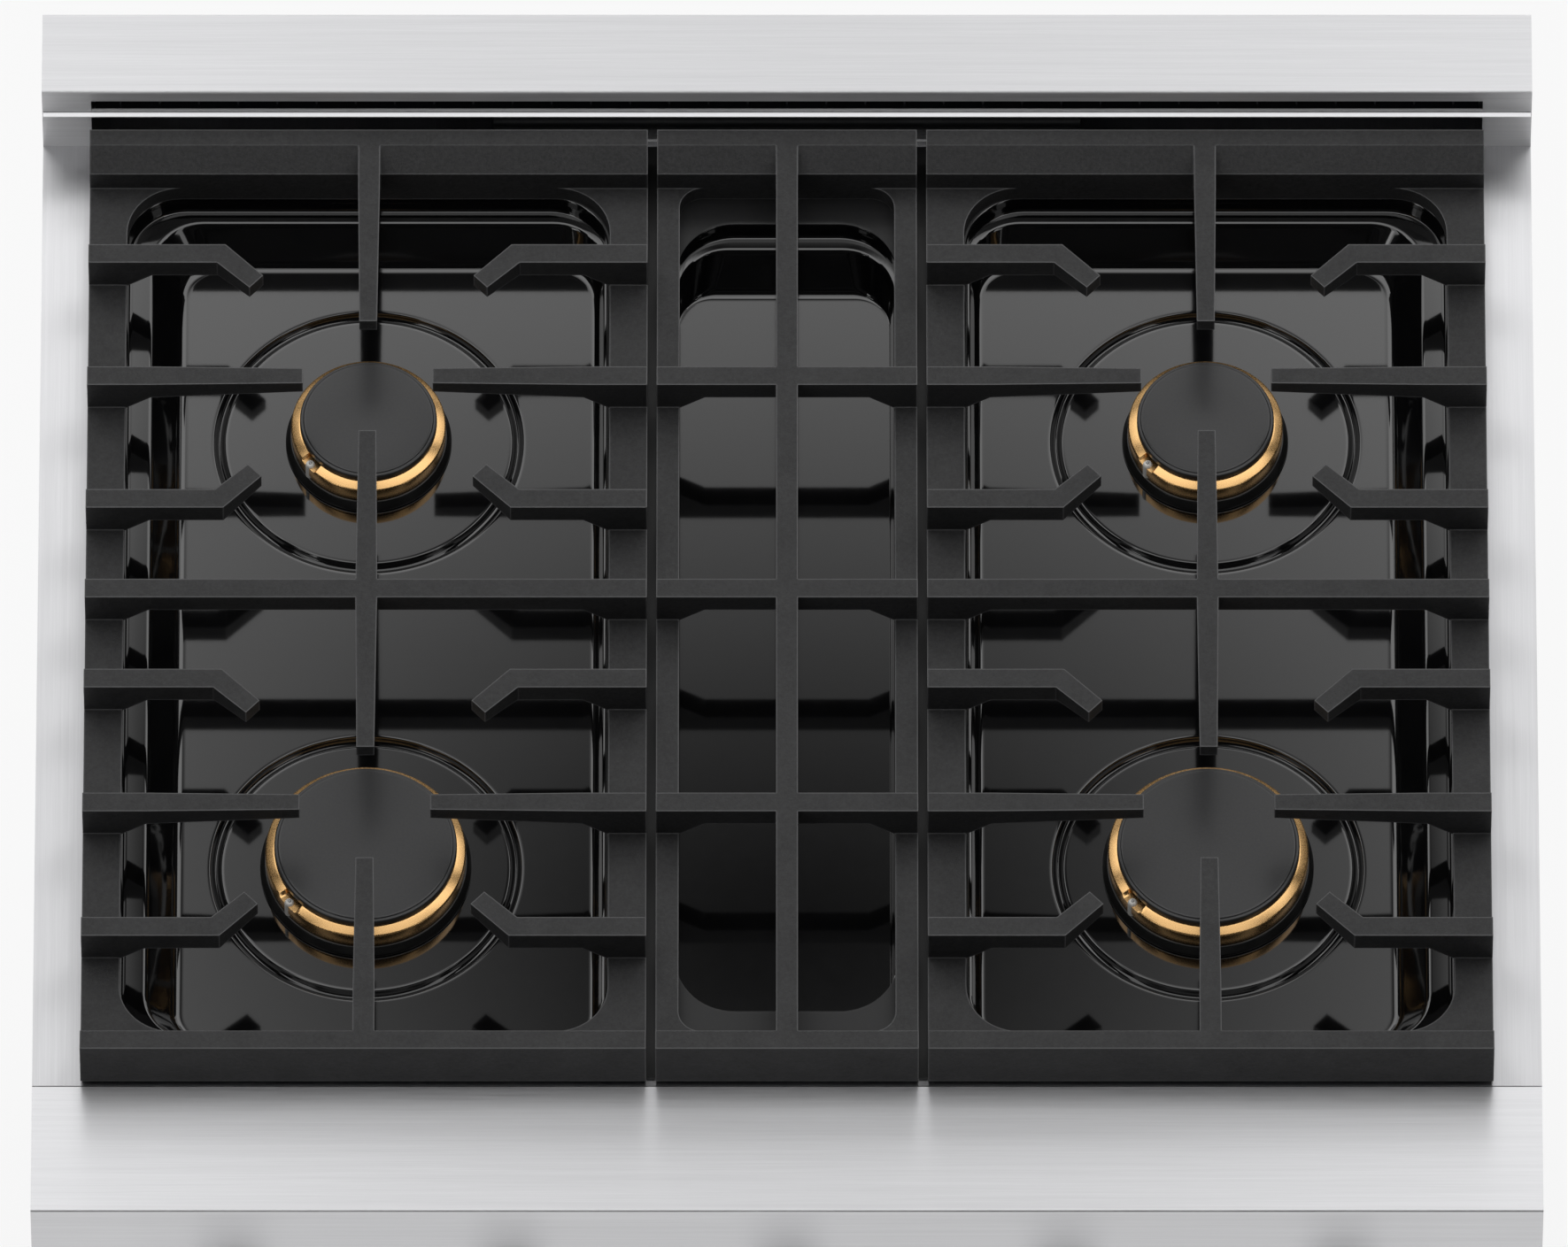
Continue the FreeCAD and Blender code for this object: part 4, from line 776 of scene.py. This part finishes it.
# Widths in millimetres.
BEVELS = {
    "grate_left": 0.9, "grate_right": 0.9, "grate_center": 0.9, "front_ledge": 0.5,
    "cooktop_frame": 0.4, "back_guard": 0.5, "control_panel": 0.5, "door_outer_panel": 0.8,
    "kick_panel": 0.5, "door_handle_posts": 0.6,
}


def set_look(name, look):
    for slot in nodes[name].material_slots:
        slot.material = looks[look]


def dress_nodes():
    """Gives each CAD node that stays its look, and the ones with a bevel their bevel."""
    for look, names in NODE_LOOKS.items():
        for name in names:
            set_look(name, look)
    for name in nodes:
        if name.startswith(("valve_stem_", "leg_")):
            set_look(name, "plain_steel")
    for name, width in BEVELS.items():
        bevel(nodes[name], width)


# ---------------------------------------------------- stage and light, in metres
FLOOR_SIZE = 40
FLOOR_COLOR = (0.9, 0.9, 0.905, 1)
FLOOR_SHADOW = 0.13
AMBIENT = 0.22
SOFTBOX_HEIGHT = 1.6
SOFTBOX_SIZE = (3.4, 2.8)
SOFTBOX_SHIFT = 0.15
SOFTBOX_BRIGHT = 1.52
# The softbox's dim patch: its strength at the middle, its half axes, and how far behind the pan's
# front edge its middle is reflected in the main view.
SOFTBOX_DIM = 0.04
SHADE_REACH = (0.75, 0.65)
SHADE_SHIFT = 0.1
FILL_PLACE = Vector((-1.6, -3.2, 2.2))
FILL_TARGET = Vector((0, 0, 0.5))
FILL_SIZE = (2.4, 2.0)
FILL_WATTS = 15
CARD_REACH = 1.7
CARD_HEIGHT = 3.2
CARD_LIFT = 0.1
FRONT_CARD_WIDTH = 2.8
SIDE_CARD_WIDTH = 2.6
SIDE_CARD_Y = 0.2


def white_for_viewers(tree, kept):
    """White for camera, glossy and transmission rays, with a share of the shading kept."""
    path = tree.nodes.new("ShaderNodeLightPath")
    total = path.outputs["Is Camera Ray"]
    for ray in ("Is Glossy Ray", "Is Transmission Ray"):
        add = tree.nodes.new("ShaderNodeMath")
        add.operation = "MAXIMUM"
        tree.links.new(total, add.inputs[0])
        tree.links.new(path.outputs[ray], add.inputs[1])
        total = add.outputs["Value"]
    part = tree.nodes.new("ShaderNodeMath")
    part.operation = "MULTIPLY"
    part.inputs[1].default_value = 1 - kept
    tree.links.new(total, part.inputs[0])
    return part.outputs["Value"]


def make_floor():
    """A white floor that keeps a little of the range's shadow."""
    bpy.ops.mesh.primitive_plane_add(size=FLOOR_SIZE, location=(0, 0, 0))
    floor = bpy.context.object
    floor.name = "studio_floor"
    material = bpy.data.materials.new("studio_floor")
    material.use_nodes = True
    tree = material.node_tree
    shader = tree.nodes["Principled BSDF"]
    shader.inputs["Base Color"].default_value = FLOOR_COLOR
    shader.inputs["Roughness"].default_value = 0.9
    white = tree.nodes.new("ShaderNodeEmission")
    mix = tree.nodes.new("ShaderNodeMixShader")
    tree.links.new(white_for_viewers(tree, FLOOR_SHADOW), mix.inputs["Fac"])
    tree.links.new(shader.outputs["BSDF"], mix.inputs[1])
    tree.links.new(white.outputs["Emission"], mix.inputs[2])
    tree.links.new(mix.outputs["Shader"], tree.nodes["Material Output"].inputs["Surface"])
    floor.data.materials.append(material)


def make_world():
    """White for the camera and for reflections, and a weaker light on the surfaces."""
    world = bpy.data.worlds.new("studio")
    world.use_nodes = True
    scene.world = world
    tree = world.node_tree
    ambient = tree.nodes["Background"]
    ambient.inputs["Color"].default_value = (1, 1, 1, 1)
    ambient.inputs["Strength"].default_value = AMBIENT
    white = tree.nodes.new("ShaderNodeBackground")
    white.inputs["Color"].default_value = (1, 1, 1, 1)
    white.inputs["Strength"].default_value = 1.0
    mix = tree.nodes.new("ShaderNodeMixShader")
    tree.links.new(white_for_viewers(tree, 0.0), mix.inputs["Fac"])
    tree.links.new(ambient.outputs["Background"], mix.inputs[1])
    tree.links.new(white.outputs["Background"], mix.inputs[2])
    tree.links.new(mix.outputs["Shader"], tree.nodes["World Output"].inputs["Surface"])


def make_softbox():
    """A wide glowing panel overhead, dimmer where the cooktop's front reflects it."""
    shift = SOFTBOX_HEIGHT / math.tan(CAMERA_ELEVATION)
    center = Vector((0, shift + SOFTBOX_SHIFT, cooktop_z + SOFTBOX_HEIGHT))
    bpy.ops.mesh.primitive_plane_add(size=1, location=center)
    panel = bpy.context.object
    panel.name = "softbox"
    panel.scale = (*SOFTBOX_SIZE, 1)
    panel.rotation_euler = (math.pi, 0, 0)
    material = bpy.data.materials.new("softbox")
    material.use_nodes = True
    tree = material.node_tree
    tree.nodes.remove(tree.nodes["Principled BSDF"])
    position = tree.nodes.new("ShaderNodeNewGeometry")
    mapping = tree.nodes.new("ShaderNodeMapping")
    mapping.vector_type = "TEXTURE"
    mapping.inputs["Location"].default_value = (0, pan_low.y + SHADE_SHIFT + shift, center.z)
    mapping.inputs["Scale"].default_value = (*SHADE_REACH, 1)
    tree.links.new(position.outputs["Position"], mapping.inputs["Vector"])
    distance = tree.nodes.new("ShaderNodeVectorMath")
    distance.operation = "LENGTH"
    tree.links.new(mapping.outputs["Vector"], distance.inputs[0])
    ranged = tree.nodes.new("ShaderNodeMapRange")
    ranged.interpolation_type = "SMOOTHSTEP"
    ranged.inputs["To Min"].default_value = SOFTBOX_DIM
    ranged.inputs["To Max"].default_value = SOFTBOX_BRIGHT
    tree.links.new(distance.outputs["Value"], ranged.inputs["Value"])
    glow = tree.nodes.new("ShaderNodeEmission")
    tree.links.new(ranged.outputs["Result"], glow.inputs["Strength"])
    tree.links.new(glow.outputs["Emission"], tree.nodes["Material Output"].inputs["Surface"])
    panel.data.materials.append(material)
    panel.visible_camera = False


def reflection_card(name, location, width, height, turn):
    """A dark upright card that only glossy surfaces see, as a studio sets beside polished things."""
    bpy.ops.mesh.primitive_plane_add(size=1, location=location)
    card = bpy.context.object
    card.name = name
    card.scale = (width, height, 1)
    card.rotation_euler = (math.pi / 2, 0, turn)
    material = bpy.data.materials.new(name)
    material.use_nodes = True
    shader = material.node_tree.nodes["Principled BSDF"]
    shader.inputs["Base Color"].default_value = (0.01, 0.01, 0.01, 1)
    shader.inputs["Roughness"].default_value = 1.0
    card.data.materials.append(material)
    for ray in ("camera", "diffuse", "transmission", "shadow"):
        setattr(card, "visible_" + ray, False)


def make_cards():
    """Dark cards in front of the range and at both its sides."""
    z = cooktop_z + CARD_LIFT + CARD_HEIGHT / 2
    side_turn = math.pi / 2
    reflection_card("front_card", (0, -CARD_REACH, z), FRONT_CARD_WIDTH, CARD_HEIGHT, 0)
    reflection_card("left_card", (-CARD_REACH, SIDE_CARD_Y, z), SIDE_CARD_WIDTH, CARD_HEIGHT, side_turn)
    reflection_card("right_card", (CARD_REACH, SIDE_CARD_Y, z), SIDE_CARD_WIDTH, CARD_HEIGHT, side_turn)


def make_fill():
    """A soft light from the front left."""
    data = bpy.data.lights.new("front_fill", "AREA")
    data.shape = "RECTANGLE"
    data.size, data.size_y = FILL_SIZE
    data.energy = FILL_WATTS
    light = bpy.data.objects.new("front_fill", data)
    light.location = FILL_PLACE
    light.rotation_euler = (FILL_PLACE - FILL_TARGET).to_track_quat("Z", "Y").to_euler()
    scene.collection.objects.link(light)


# ---------------------------------------------------- the whole scene
make_camera()
drip_pan()
for burner_name in BURNERS:
    burner_cap(burner_name)
flame_rings()
burner_bases()
igniters()
for knob_name in KNOBS:
    knob(knob_name)
panel_marks()
handle_collars()
guard_lip()
dress_nodes()
make_floor()
make_world()
make_softbox()
make_fill()
make_cards()
scene.view_settings.view_transform = "Standard"
